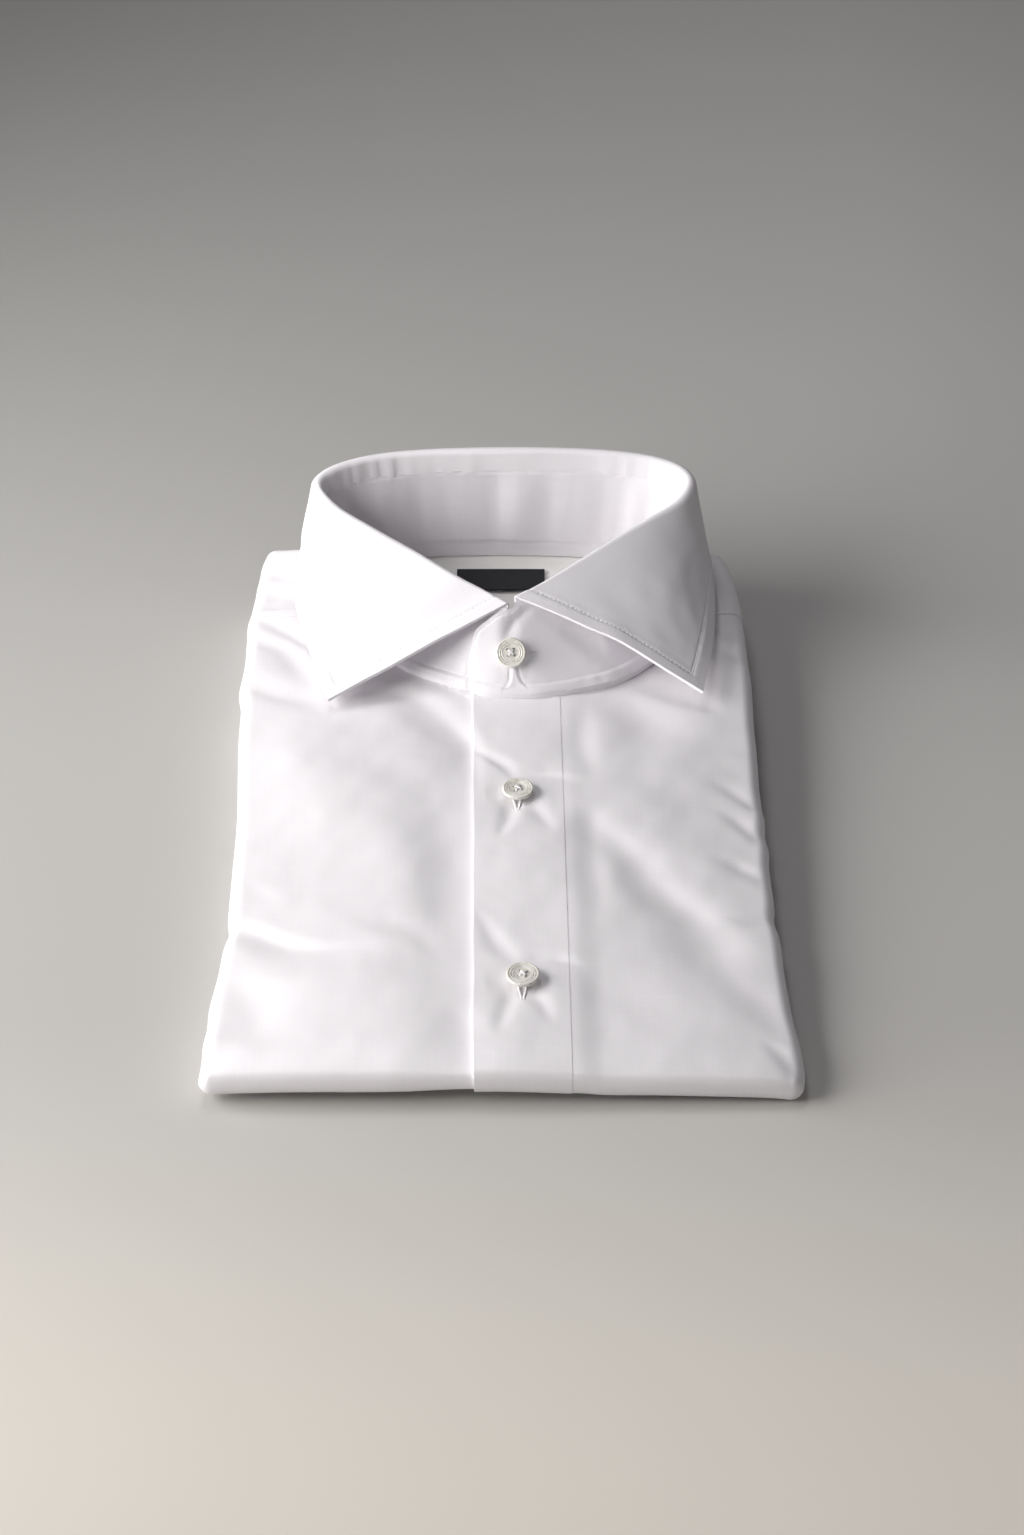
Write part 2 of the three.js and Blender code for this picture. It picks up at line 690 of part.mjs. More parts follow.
// One ring under the top cloth, a little below its inner face.
function coverRing(inset, drop) {
  return {
    reach: () => CORE_INSET - inset,
    height: (to) => coreTop(to.x, to.y) - drop,
  };
}

function foldedLayers() {
  const sheet = newSheet();
  const columns = cells(2 * (HALF_WIDTH - CORE_INSET), CORE_CELL);
  const rows = cells(BACK_FOLD_Y - FRONT_FOLD_Y - 2 * CORE_INSET, CORE_CELL);
  const at = addGrid(sheet, columns, rows, (u, v) => {
    const y = mix(FRONT_FOLD_Y + CORE_INSET, BACK_FOLD_Y - CORE_INSET, v);
    const x = mix(outlineAt(y, 'left') + CORE_INSET, outlineAt(y, 'right') - CORE_INSET, u);
    return new THREE.Vector3(x, y, coreTop(x, y));
  });
  const chain = edgeChain(at, ['left', 'front', 'right', 'back', 'left'], 4, 0.22);
  const once = chain.slice(0, chain.length - at.length);
  const rings = [
    coverRing(10, 0.1),
    coverRing(7.5, 2),
    {
      reach: () => CORE_INSET - 7.5,
      height: (to) => topHeight(to.x, to.y) - 2 * ROLL_RADIUS,
    },
  ];
  for (let layer = LAYERS; layer > 0; layer -= 1) {
    rings.push(layerRing((layer - 0.06) / LAYERS, LAYER_INSET + 3));
    rings.push(layerRing((layer - 0.4) / LAYERS, LAYER_INSET));
    rings.push(layerRing((layer - 0.75) / LAYERS, LAYER_INSET));
    rings.push(layerRing((layer - 1) / LAYERS, LAYER_INSET + (layer === 1 ? 2 : 4)));
  }
  const bottom = addRings(sheet, once, rings, true);
  const contour = bottom.map((n) => new THREE.Vector2(sheet.points[n].x, sheet.points[n].y));
  for (const face of THREE.ShapeUtils.triangulateShape(contour, [])) {
    sheet.faces.push(face.reverse().map((n) => bottom[n]));
  }
  return cut(geometryOf(sheet.points, sheet.faces), neckCutter());
}

// ---------- Materials and the whole ----------

function cotton(color) {
  return new THREE.MeshStandardMaterial({ color, roughness: 0.75, metalness: 0 });
}

function pearl() {
  return new THREE.MeshStandardMaterial({ color: 0xe6e2d6, roughness: 0.3, metalness: 0 });
}

const WHITE = 0xf3f2f4;
const CREAM = 0xeeeae0;
const NAVY = 0x20222a;

const shirt = new THREE.Group();
shirt.position.set(-MIDDLE.x, -MIDDLE.y, 0);

function add(name, geometry, material) {
  const mesh = new THREE.Mesh(geometry, material);
  mesh.name = name;
  shirt.add(mesh);
  return mesh;
}

add('folded_layers', foldedLayers(), cotton(WHITE));
add('right_front', rightFront(), cotton(WHITE));
add('left_front', leftFront(), cotton(WHITE));
add('front_placket', frontPlacket(), cotton(WHITE));
add('yoke', yoke(), cotton(WHITE));
add('inner_yoke', innerYoke(), cotton(CREAM));
add('collar_band', collarBand(), cotton(WHITE));
add('collar_leaf', collarLeaf(), cotton(WHITE));
add('neck_label', neckLabel(), cotton(NAVY));

const BUTTONS = [
  { name: 'collar_button', ...collarButtonSeat() },
  { name: 'button_2', ...topSeat(6.35, -4.8) },
  { name: 'button_3', ...topSeat(8, -108.4) },
];
for (const { name, seat, normal } of BUTTONS) {
  placeButton(add(name, buttonGeometry(), pearl()), seat, normal);
}

export default shirt;
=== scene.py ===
# %% [markdown]
# # A folded dress shirt
# A white cotton dress shirt, folded for a shelf: two fronts, a front placket, a yoke that comes
# forward over the shoulders, a standing collar of a band and a leaf, an inner yoke with a plain
# label, and three shell buttons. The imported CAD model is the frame. Each soft piece is made again
# here as thin cloth on the form of its solid, and then stands for it.

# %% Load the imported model
import math

import bmesh
import bpy
import numpy as np
from mathutils import Matrix, Vector


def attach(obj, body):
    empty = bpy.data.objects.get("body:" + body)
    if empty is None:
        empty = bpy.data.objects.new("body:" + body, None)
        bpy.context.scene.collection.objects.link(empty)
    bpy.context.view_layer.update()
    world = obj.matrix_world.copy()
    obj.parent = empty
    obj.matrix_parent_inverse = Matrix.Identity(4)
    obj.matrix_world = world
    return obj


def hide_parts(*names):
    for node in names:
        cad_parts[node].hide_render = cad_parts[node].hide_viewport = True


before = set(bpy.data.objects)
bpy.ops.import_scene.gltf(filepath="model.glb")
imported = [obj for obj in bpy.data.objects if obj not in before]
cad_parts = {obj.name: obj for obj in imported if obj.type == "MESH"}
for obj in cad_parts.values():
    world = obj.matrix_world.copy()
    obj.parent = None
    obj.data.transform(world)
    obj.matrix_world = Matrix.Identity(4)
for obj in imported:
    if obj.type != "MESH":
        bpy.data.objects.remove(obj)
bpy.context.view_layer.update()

# %% [markdown]
# ## Camera
# The camera looks down 37 degrees onto the shirt from about 1.2 metres, through a short telephoto
# lens, which keeps the collar behind nearly as large as the front fold. A camera could also be aimed
# with a Track To constraint, but a place and one angle say plainly where it stands.

# %% Camera
CAMERA_PLACE = (0.0037, -0.9456, 0.7379)
CAMERA_PITCH = 37.0  # degrees below the horizon
PICTURE_HEIGHT = 1535  # pixels
FOCAL_PIXELS = 3000
SENSOR = 36.0  # millimetres

camera_data = bpy.data.cameras.new("camera")
camera_data.sensor_width = SENSOR
camera_data.lens = FOCAL_PIXELS * SENSOR / PICTURE_HEIGHT
camera_data.clip_start = 0.05
camera_data.clip_end = 50
camera = bpy.data.objects.new("camera", camera_data)
camera.location = CAMERA_PLACE
camera.rotation_euler = (math.radians(90 - CAMERA_PITCH), 0, 0)
bpy.context.collection.objects.link(camera)
bpy.context.scene.camera = camera
bpy.context.scene.view_settings.view_transform = "Standard"
print("lens", round(camera_data.lens, 2), "mm")

# %% [markdown]
# ## Helpers for materials
# Every material and every Geometry Nodes tree below is a handful of nodes with links between them.
# One small function adds a node and fills or links its inputs, so that a tree reads from the top
# down. Colours are written as sRGB hex values, and a second function turns them to linear.


# %% A helper for nodes, and one for colours
def put(tree, kind, inputs=None, **settings):
    """Adds a node, sets it up, and links or fills its inputs."""
    made = tree.nodes.new(kind)
    for name, value in settings.items():
        setattr(made, name, value)
    for name, value in (inputs or {}).items():
        if isinstance(value, bpy.types.NodeSocket):
            tree.links.new(value, made.inputs[name])
        else:
            made.inputs[name].default_value = value
    return made


def colour(code):
    """An sRGB hex colour as the linear values that the shaders use."""
    values = [int(code[n:n + 2], 16) / 255 for n in (1, 3, 5)]
    return [v / 12.92 if v <= 0.04045 else ((v + 0.055) / 1.055) ** 2.4 for v in values] + [1.0]


def new_material(name):
    """An empty node material, its tree and its output."""
    material = bpy.data.materials.new(name)
    material.use_nodes = True
    tree = material.node_tree
    tree.nodes.clear()
    return material, tree, put(tree, "ShaderNodeOutputMaterial")


# %% [markdown]
# ## Floor
# The shirt lies on matt painted board that runs back without an edge. One large square does it. Its
# paint is a Principled shader with a weak mottle. Painted shade greys it from the pale front towards
# the back, where the light falls off, and darkens its left side while painted light brightens its
# right, which evens out the key light that is brighter on the left.

# %% Floor of painted board
FLOOR_SIZE = 9.0


def board_with_painted_falloff():
    """Matt board, mottled as rolled paint is: pale in front, with painted shade behind and on the left.
    """
    material, tree, output = new_material("board_with_painted_falloff")
    place = put(tree, "ShaderNodeTexCoord").outputs["Object"]
    # clouds of about 170 mm
    mottle = put(tree, "ShaderNodeTexNoise", {"Vector": place, "Scale": 6.0, "Detail": 3.0})
    parts = put(tree, "ShaderNodeSeparateXYZ", {"Vector": place})
    # painted shade: the board greys from its pale front towards the back, as the light falls off there
    behind = put(tree, "ShaderNodeMapRange", {
        "Value": parts.outputs["Y"], "From Min": -0.36, "From Max": -0.1},
        interpolation_type="SMOOTHSTEP")
    # painted shade on the left and painted light on the right, which even out the key light that is
    # brighter on the left
    across = put(tree, "ShaderNodeMapRange", {
        "Value": parts.outputs["X"], "From Min": -0.3, "From Max": 0.2, "To Min": 0.7, "To Max": 1.12})
    shade = put(tree, "ShaderNodeMix", {
        "Factor": behind.outputs["Result"], "A": colour("#ece6dc"), "B": colour("#c5c3c0")},
        data_type="RGBA")
    rolled = put(tree, "ShaderNodeMapRange", {
        "Value": mottle.outputs["Fac"], "To Min": 0.97, "To Max": 1.0})
    strength = put(tree, "ShaderNodeMath", {
        0: rolled.outputs["Result"], 1: across.outputs["Result"]}, operation="MULTIPLY").outputs[0]
    shade = put(tree, "ShaderNodeVectorMath", {
        0: shade.outputs["Result"], "Scale": strength}, operation="SCALE")
    shader = put(tree, "ShaderNodeBsdfPrincipled", {
        "Base Color": shade.outputs["Vector"], "Roughness": 0.75, "Specular IOR Level": 0.2})
    tree.links.new(shader.outputs["BSDF"], output.inputs["Surface"])
    return material


half = FLOOR_SIZE / 2
floor_mesh = bpy.data.meshes.new("floor")
floor_mesh.from_pydata([(-half, -half, 0), (half, -half, 0), (half, half, 0), (-half, half, 0)],
                       [], [(0, 1, 2, 3)])
floor = bpy.data.objects.new("floor", floor_mesh)
floor_mesh.materials.append(board_with_painted_falloff())
bpy.context.collection.objects.link(floor)
print("floor:", FLOOR_SIZE, "metres wide")

# %% [markdown]
# ## Light
# White cloth only shows its folds when one side of each fold is darker than the other. So one large
# soft light stands low on the left, as a window would, and a dim even surround fills the shadows.
# A second light, high and behind, gives the satin its gloss, and a weak one in front lifts the fold
# nearest the camera. Area lights are used because their size sets how soft a shadow is.


# %% Lights
def soft_light(name, place, aim, size, power, shade):
    """A square area light at place, turned to the point it aims at."""
    data = bpy.data.lights.new(name, "AREA")
    data.shape = "SQUARE"
    data.size = size
    data.energy = power
    data.color = colour(shade)[:3]
    light = bpy.data.objects.new(name, data)
    light.location = place
    light.rotation_euler = (Vector(aim) - Vector(place)).to_track_quat("-Z", "Y").to_euler()
    bpy.context.collection.objects.link(light)
    print(name, "light:", power, "watts")


SURROUND_STRENGTH = 0.098

soft_light("key", (-0.71, -0.13, 0.33), (0, 0.02, 0.02), 0.72, 11.7, "#fffefc")
soft_light("overhead", (-0.2, 0.5, 1.4), (0, 0, 0), 0.4, 3.4, "#fbfbff")
soft_light("front", (0.05, -1.3, 0.4), (0, -0.16, 0), 0.6, 1.3, "#fffdf8")

surround = bpy.data.worlds.new("surround")
surround.use_nodes = True
background = surround.node_tree.nodes["Background"]
background.inputs["Color"].default_value = colour("#f5f3f7")
background.inputs["Strength"].default_value = SURROUND_STRENGTH
bpy.context.scene.world = surround

# %% [markdown]
# ## The form of the folded shirt
# The sizes are the maker's: millimetres on the shirt, with x across it and y from the front fold
# to the collar. One helper turns them into the frame's metres. The top cloth lies on a plane that
# rises towards the collar, and the creases are soft ridges and hollows along given lines. A
# simulation could drape the cloth, but it would not put a crease where this shirt has it.

# %% Sizes of the fold
MIDDLE = np.array([0.3, 9.9, 0.0])  # the frame's origin
FRONT_FOLD_Y = -161.0
BACK_FOLD_Y = 161.0
FRONT_TOP = 15.0  # height of the top cloth at the front fold
TOP_SLOPE = 0.056  # and how fast it rises towards the collar
ROLL_RADIUS = 5.0
ROLL_TURN = math.radians(150)
FRONT_TUCK = 3.2  # the cloth is drawn in a little at the front fold
FRONT_PRESS = 0.62  # and pressed flatter than round
FRONT_LEAN = 0.12  # and already slopes when the fold starts
YOKE_SEAM_Y = 112.0
YOKE_SEAM_LEAN = 0.045
YOKE_LAP = 1.2  # how far the edge of the yoke lies over the fronts
YOKE_STITCH = 0.6  # from the seam to its stitches
PLACKET_LEFT = -11.0
PLACKET_LEAN = 0.0093
PLACKET_WIDTH = 35.0
CLOTH = 0.5  # thickness of one layer of shirt cotton, drawn a little heavy so that it has body

# Outline seen from above: y, left edge, right edge.
OUTLINE = np.array([
    (-161, -107, 106.5), (-155, -108, 107.5), (-146, -106.5, 108.4), (-134, -106.3, 107.7),
    (-121, -106.5, 106), (-100, -103.5, 104.7), (-78, -102.5, 103.6), (-57, -102.7, 103.2),
    (-22, -103, 102.8), (3, -104.3, 101.8), (35, -105.7, 102.5), (63, -107, 102.4),
    (105, -107, 102), (123, -106, 101.5), (152, -104, 98), (161, -101, 95)])

# Small places where the folded edge swells out or is nipped in: side, y, spread, reach.
EDGE_SWELLS = [
    ("left", 64, 7, 0.9), ("left", 52, 6, -0.3), ("left", 84, 8, -0.4), ("left", 109, 5, 0.6),
    ("left", 30, 12, 0.3), ("left", -8, 14, -0.3), ("left", -79, 4, -0.9), ("left", -94, 10, 0.3),
    ("left", -128, 6, -0.5), ("left", -137, 7, 0.5), ("right", 110, 6, -0.4),
    ("right", 70, 14, 0.4), ("right", 40, 10, -0.3), ("right", -14, 5, 0.35),
    ("right", -24, 4, -0.4), ("right", -32, 5, 0.4), ("right", -44, 6, -0.3),
    ("right", -71, 4, -0.8), ("right", -84, 8, 0.4), ("right", -148, 5, 0.5)]

print("folded length:", BACK_FOLD_Y - FRONT_FOLD_Y, "mm, placket:", PLACKET_WIDTH, "mm wide")

# %% [markdown]
# ## Small mathematics of cloth
# Cloth is made of smooth changes: a blend between two values, a step with rounded ends, waves of
# about one size in every direction. These few functions do all of it on whole arrays of points at
# once, and each set of waves has its own seed, so that the shirt is the same each time.


# %% Blends and waves
def metres(points):
    """Shirt millimetres to the frame's metres."""
    return (np.asarray(points, float) - MIDDLE) / 1000


def smooth(t):
    """A step from 0 to 1 with rounded ends."""
    s = np.clip(t, 0, 1)
    return s * s * (3 - 2 * s)


def mix(a, b, t):
    return a + (b - a) * t


WAVES = 10


def ripple(x, y, size, seed):
    """Gentle waves of about one size in every direction, the same for the same seed."""
    draw = np.random.default_rng(seed)
    total = 0
    for _ in range(WAVES):
        turn, shift = draw.uniform(0, 2 * math.pi, 2)
        wave = 2 * math.pi / (size * draw.uniform(0.7, 1.5))
        total = total + np.cos(wave * (x * math.cos(turn) + y * math.sin(turn)) + shift)
    return total / WAVES ** 0.5


# %% [markdown]
# ## Outline, plane and seams
# The outline is a few points on each side. They are joined and then softened by a running average,
# which keeps the long lines straight and rounds the corners, and the small swells are added to that.

# %% The outline's sides
OUTLINE_STEP = 0.5
SOFTENING = 4.0  # spread of the running average
fine_y = np.arange(-170, 171, OUTLINE_STEP)
spread_steps = round(SOFTENING / OUTLINE_STEP)
tail_steps = 3 * spread_steps
soften = np.exp(-0.5 * (np.arange(-tail_steps, tail_steps + 1) / spread_steps) ** 2)
soften /= soften.sum()


def soft_edge(column, side):
    """One side of the outline as a smooth line, with its swells."""
    reach = np.interp(fine_y, OUTLINE[:, 0], OUTLINE[:, column])
    reach = np.convolve(np.pad(reach, tail_steps, mode="edge"), soften, mode="valid")
    sign = -1 if side == "left" else 1
    for where, y, spread, swell in EDGE_SWELLS:
        if where == side:
            reach = reach + sign * swell * np.exp(-((fine_y - y) / spread) ** 2)
    return reach


edge_lines = {"left": soft_edge(1, "left"), "right": soft_edge(2, "right")}


def outline_at(y, side):
    return np.interp(y, fine_y, edge_lines[side])


print("width across the middle:", round(float(outline_at(0, "right") - outline_at(0, "left"))), "mm")


# %% The plane of the top cloth, and its seams
def flat_top(y):
    """Height of the top cloth before it is creased."""
    return FRONT_TOP + TOP_SLOPE * (y - FRONT_FOLD_Y)


def placket_left(y):
    return PLACKET_LEFT - PLACKET_LEAN * y


def yoke_seam(x):
    return YOKE_SEAM_Y + YOKE_SEAM_LEAN * np.maximum(0, x)


# %% [markdown]
# ## Smooth lines
# Folds, creases and the collar all follow lines through a few points. A centripetal Catmull-Rom
# curve goes through every point without a loop or an overshoot where the points are uneven, which
# a Bezier curve with automatic handles can't promise.


# %% A line through points, and the distance to it
def curve_through(rows, per_span, closed=False):
    """A smooth line through the rows, with per_span steps from each to the next."""
    rows = np.asarray(rows, float)
    spans = len(rows) if closed else len(rows) - 1
    if closed:
        padded = np.vstack([rows[-1], rows, rows[0], rows[1]])
    else:
        padded = np.vstack([2 * rows[0] - rows[1], rows, 2 * rows[-1] - rows[-2]])
    t = np.arange(spans * per_span + (0 if closed else 1)) / per_span
    span = np.minimum(t.astype(int), spans - 1)
    w = (t - span)[:, None]
    a, b, c, d = (padded[span + k] for k in range(4))
    d0, d1, d2 = (np.maximum(np.linalg.norm(q - p, axis=1), 1e-6)[:, None] ** 0.5
                  for p, q in ((a, b), (b, c), (c, d)))
    t1 = ((b - a) / d0 - (c - a) / (d0 + d1) + (c - b) / d1) * d1
    t2 = ((c - b) / d1 - (d - b) / (d1 + d2) + (d - c) / d2) * d1
    return (b + t1 * w + (-3 * b + 3 * c - 2 * t1 - t2) * w ** 2
            + (2 * b - 2 * c + t1 + t2) * w ** 3)


def distance_to_line(x, y, line):
    """Distance from points to a bent line, how far along it the nearest place is, 0 to 1, and
    on which side of it they are, 1 for the left."""
    line = np.asarray(line, float)
    lengths = np.hypot(*np.diff(line, axis=0).T)
    walked = np.concatenate([[0], np.cumsum(lengths)])
    best = np.full(np.shape(x), 1e9)
    along = np.zeros(np.shape(x))
    side = np.zeros(np.shape(x))
    for n, length in enumerate(lengths):
        (x1, y1), (x2, y2) = line[n], line[n + 1]
        share = np.clip(((x - x1) * (x2 - x1) + (y - y1) * (y2 - y1)) / length ** 2, 0, 1)
        away = np.hypot(x - mix(x1, x2, share), y - mix(y1, y2, share))
        nearer = away < best
        best = np.where(nearer, away, best)
        along = np.where(nearer, (walked[n] + share * length) / walked[-1], along)
        left = (x2 - x1) * (y - y1) - (y2 - y1) * (x - x1)
        side = np.where(nearer, np.sign(left), side)
    return best, along, side


# %% [markdown]
# ## Creases
# Pressed cotton keeps the marks of handling: shallow hollows that fan out from where it is held,
# as at a button or a seam, with low swells between them. Each is a listed line, with a soft
# section that fades at both ends. Broad faint waves bend them a little, so that none looks ruled.
# They could be sculpted or simulated, but a list of lines is easy to read and to move.

# %% Creases of the top cloth
CROWN = 0.00022  # how fast the cloth falls away on both sides, for each square millimetre
CROWN_X = -30.0
CREASE_DEPTH = 1.5
LINE_STEPS = 4  # steps from each point of a crease's line to the next
SAG_FROM = -138.0  # from here the cloth sags towards the front fold
SAG = 0.0138
HANDLING = [(0.16, 70, 3), (0.07, 21, 5), (0.02, 9, 7)]  # faint waves: height, size, seed
BEND = 1.3  # how far the creases are bent to and fro
BEND_SIZE = 42
BEND_SEEDS = (61, 62)

# Each crease: its line, half width, height in the middle (hollows below zero), and lean, the share
# by which the flank on the left of its direction is wider. All fade to nothing at both ends.
CREASES = [
    # left shoulder, above the yoke seam
    ([(-110, 147), (-100, 144), (-84, 136)], 5, -0.7, -0.3),
    ([(-112, 136), (-95, 127), (-80, 116)], 5.5, -0.7, -0.3),
    # a fan below the yoke seam, towards the point of the collar
    ([(-112, 113), (-101, 107), (-91, 98), (-80, 88), (-68, 78)], 3.6, -0.62, 0.2),
    ([(-112, 99), (-103, 92), (-91, 84), (-78, 71)], 4.2, -0.5, 0.2),
    ([(-108, 84), (-96, 74), (-82, 66)], 6, 0.35, 0),
    ([(-116, 67), (-104, 62), (-90, 57), (-72, 52), (-56, 50)], 5.5, -0.55, 0.3),
    # the taut arc beside the placket, below the left point of the collar
    ([(-78, 54), (-54, 58), (-37, 55), (-25, 42), (-15, 28), (-11, 12), (-10, -4)],
     7.5, -1.1, -0.3),
    ([(-44, 74), (-28, 67), (-16, 50)], 9, 0.6, 0),
    # left body
    ([(-84, 44), (-68, 0), (-60, -48)], 24, 1.0, 0),
    ([(-50, -18), (-38, -44), (-32, -72)], 12, 0.4, 0),
    ([(-94, 32), (-83, 14), (-79, -8)], 12, 0.4, 0),
    ([(-34, 6), (-23, -40), (-20, -92)], 11, -0.45, 0),
    ([(-60, 24), (-40, 6), (-30, -22)], 10, -0.3, 0),
    # left side, above the front fold
    ([(-122, -66), (-104, -75), (-92, -82), (-80, -90), (-62, -94), (-44, -92)], 5, -0.95, -0.35),
    ([(-104, -96), (-82, -107), (-50, -104), (-34, -98)], 10, 0.6, 0),
    ([(-58, -75), (-38, -81), (-20, -97)], 6, -0.4, 0),
    ([(-100, -110), (-89, -128), (-86, -146)], 11, -0.7, 0),
    ([(-100, -54), (-94, -62), (-84, -68)], 4, -0.25, 0),
    ([(-19, -118), (-14, -134), (-13, -152)], 7, -0.4, 0),
    # pulls round the second button
    ([(-14, 24), (-5, 17), (2, 11), (7, 0)], 2.8, -0.48, 0.2),
    ([(4, 3.6), (19, 4), (32, 2)], 2.6, -0.36, 0),
    ([(5.2, -1), (3.6, -17), (1, -31)], 3.0, -0.5, 0),
    ([(8, -2), (14, -17), (19, -28)], 3.0, -0.36, 0),
    ([(-6, -5), (6, -5), (18, -5)], 8, -0.6, 0),
    # pulls round the third button
    ([(-9, -72), (-3, -86), (7, -103)], 3.2, -0.36, 0),
    ([(6, -100), (20, -100), (34, -103)], 2.8, -0.36, 0),
    ([(7, -105), (2, -124), (-2, -138)], 3.2, -0.42, 0),
    ([(10, -106), (15, -121), (18, -131)], 3.0, -0.32, 0),
    ([(-5, -109), (8, -109), (20, -109)], 8, -0.6, 0),
    # both fronts swell beside the placket
    ([(30, 120), (30, -20), (30, -150)], 26, 0.75, 0),
    ([(-38, 70), (-42, -30), (-44, -150)], 26, 0.4, 0),
    # right of the placket
    ([(33, 52), (31, 28), (33, 6)], 7, -0.6, -0.2),
    ([(36, -10), (33, -36), (36, -74)], 9, -0.7, -0.2),
    ([(34, -96), (36, -122), (40, -150)], 10, -0.3, 0),
    # the long diagonal hollow, and the swell above it
    ([(20, -6), (29, -16), (40, -27), (49, -39), (60, -57), (71, -77), (82, -98), (92, -122)],
     10, -1.25, -0.15),
    ([(36, 6), (56, -12), (76, -42), (92, -74)], 13, 0.5, 0),
    ([(40, 68), (55, 44), (66, 14)], 13, -1.2, 0),
    ([(54, 66), (74, 57), (94, 52)], 7, -0.45, 0),
    ([(54, 38), (72, 14), (84, -10)], 12, 0.4, 0),
    ([(40, -96), (50, -120), (64, -140)], 12, -0.4, 0),
    # right edge
    ([(80, 8), (92, -4), (104, -13), (116, -22)], 3.2, -0.5, 0.2),
    ([(80, -10), (95, -25), (106, -30), (118, -34)], 3.2, -0.55, 0.2),
    ([(84, -42), (98, -50), (114, -61)], 3.2, -0.5, 0),
    ([(78, -38), (88, -44), (96, -50)], 4, -0.3, 0),
    ([(82, -74), (96, -73), (106, -69), (120, -64)], 3, -0.65, 0),
    ([(82, -84), (96, -88), (112, -88)], 6, 0.35, 0),
    ([(88, -104), (98, -124), (106, -140)], 7, -0.5, 0),
    ([(82, 26), (94, 18), (110, 14)], 6, 0.3, 0),
    # right shoulder
    ([(82, 97), (96, 87), (112, 76)], 5, -0.45, 0),
    ([(82, 109), (100, 101), (112, 94)], 4, -0.3, 0),
    # front corners
    ([(94, -136), (103, -148), (110, -162)], 3.4, -0.6, 0),
    ([(-96, -140), (-104, -152), (-110, -164)], 4, -0.3, 0),
    # behind the collar, where it doesn't show from the front
    ([(-70, 160), (-54, 152), (-40, 158)], 5, 0.4, 0),
    ([(50, 160), (66, 150), (84, 146)], 5, -0.5, 0)]
CREASES = [(curve_through(line, LINE_STEPS), *rest) for line, *rest in CREASES]


def relief(x, y):
    """Height of all creases above the plane of the top cloth."""
    rise = sum(height * ripple(x, y, size, seed) for height, size, seed in HANDLING)
    rise = rise - CROWN * (x - CROWN_X) ** 2
    rise = rise - SAG / 2 * np.maximum(0, SAG_FROM - y) ** 2
    bent_x = x + BEND * ripple(x, y, BEND_SIZE, BEND_SEEDS[0])
    bent_y = y + BEND * ripple(x, y, BEND_SIZE, BEND_SEEDS[1])
    for line, width, height, lean in CREASES:
        away, along, side = distance_to_line(bent_x, bent_y, line)
        middle = np.sin(math.pi * along)
        reach = width * (0.6 + 0.4 * middle) * (1 + lean * side)
        rise = rise + CREASE_DEPTH * height * middle ** 1.2 * np.exp(-(away / reach) ** 2)
    return rise


def top_height(x, y):
    return flat_top(y) + relief(x, y)


print("creases:", len(CREASES))

# %% [markdown]
# ## Laying cloth
# A piece of cloth starts as a grid of points that follows its cut. Rows of points are then added
# round the edges that are folded: they turn outward, down and under, as a pressed fold does.
# Each point keeps its place on the flat cloth in a UV map in metres, which the weave follows, and
# its distance from the nearest row of stitches, which the dimples along a seam follow.


# %% Grid, folded edges and mesh
class Cloth:
    """Points, faces and flat places of one sheet, in shirt millimetres."""

    def __init__(self):
        self.points = np.zeros((0, 3))
        self.flat = np.zeros((0, 2))
        self.faces = []

    def add(self, points, flat):
        """Takes in points with their flat places, and gives their numbers."""
        first = len(self.points)
        self.points = np.vstack([self.points, points])
        self.flat = np.vstack([self.flat, flat])
        return np.arange(first, first + len(points))

    def grid(self, place, columns, rows):
        """place(u, v) gives arrays of x, y, z for arrays of u and v from 0 to 1."""
        u, v = np.meshgrid(np.linspace(0, 1, columns + 1), np.linspace(0, 1, rows + 1))
        x, y, z = (part.ravel() for part in place(u, v))
        at = self.add(np.stack([x, y, z], axis=1), np.stack([x, y], axis=1))
        at = at.reshape(rows + 1, columns + 1)
        quads = np.stack([at[:-1, :-1], at[:-1, 1:], at[1:, 1:], at[1:, :-1]], axis=-1)
        self.faces += quads.reshape(-1, 4).tolist()
        return at

    def join(self, last, after, closed):
        """Faces between two rows of points. Where two corners are one, the face is a triangle."""
        count = len(last) if closed else len(last) - 1
        for i in range(count):
            j = (i + 1) % len(last)
            face = [last[i], after[i], after[j], last[j]]
            kept = [int(n) for k, n in enumerate(face) if n != face[k - 1]]
            if len(set(kept)) > 2:
                self.faces.append(kept)

    def rings(self, chain, sides, steps, closed=False):
        """Rows of points outward from a chain. A step gives reach and height for each of them."""
        last = chain
        start = self.points[chain]
        for reach, height in steps:
            out = reach(start, sides)[:, None] * sides
            ground = start[:, :2] + out
            points = np.column_stack([ground, height(ground, start, sides)])
            flat = self.flat[chain] + out + sides * (start[:, 2] - points[:, 2])[:, None]
            after = self.add(points, flat)
            self.join(last, after, closed)
            last = after
        return last


# %% The way round the edges of a grid
SIDES = {"left": (-1, 0), "front": (0, -1), "right": (1, 0), "back": (0, 1)}


def edge_chain(at, names, fan=6, stretch=0.0):
    """The points along the named sides of a grid, counterclockwise, and the way out from each."""
    lines = {"left": at[::-1, 0], "front": at[0], "right": at[:, -1], "back": at[-1, ::-1]}
    chain, sides = [], []
    for n, name in enumerate(names):
        chain += list(lines[name])
        sides += [SIDES[name]] * len(lines[name])
        if n + 1 < len(names):
            a, b = np.array(SIDES[name]), np.array(SIDES[names[n + 1]])
            for k in range(1, fan):
                turn = k / fan * math.pi / 2
                way = a * math.cos(turn) + b * math.sin(turn)
                chain.append(lines[name][-1])
                sides.append(way * (1 + stretch * math.sin(2 * turn)))
    return np.array(chain), np.array(sides, float)


TURN_STEPS = 14


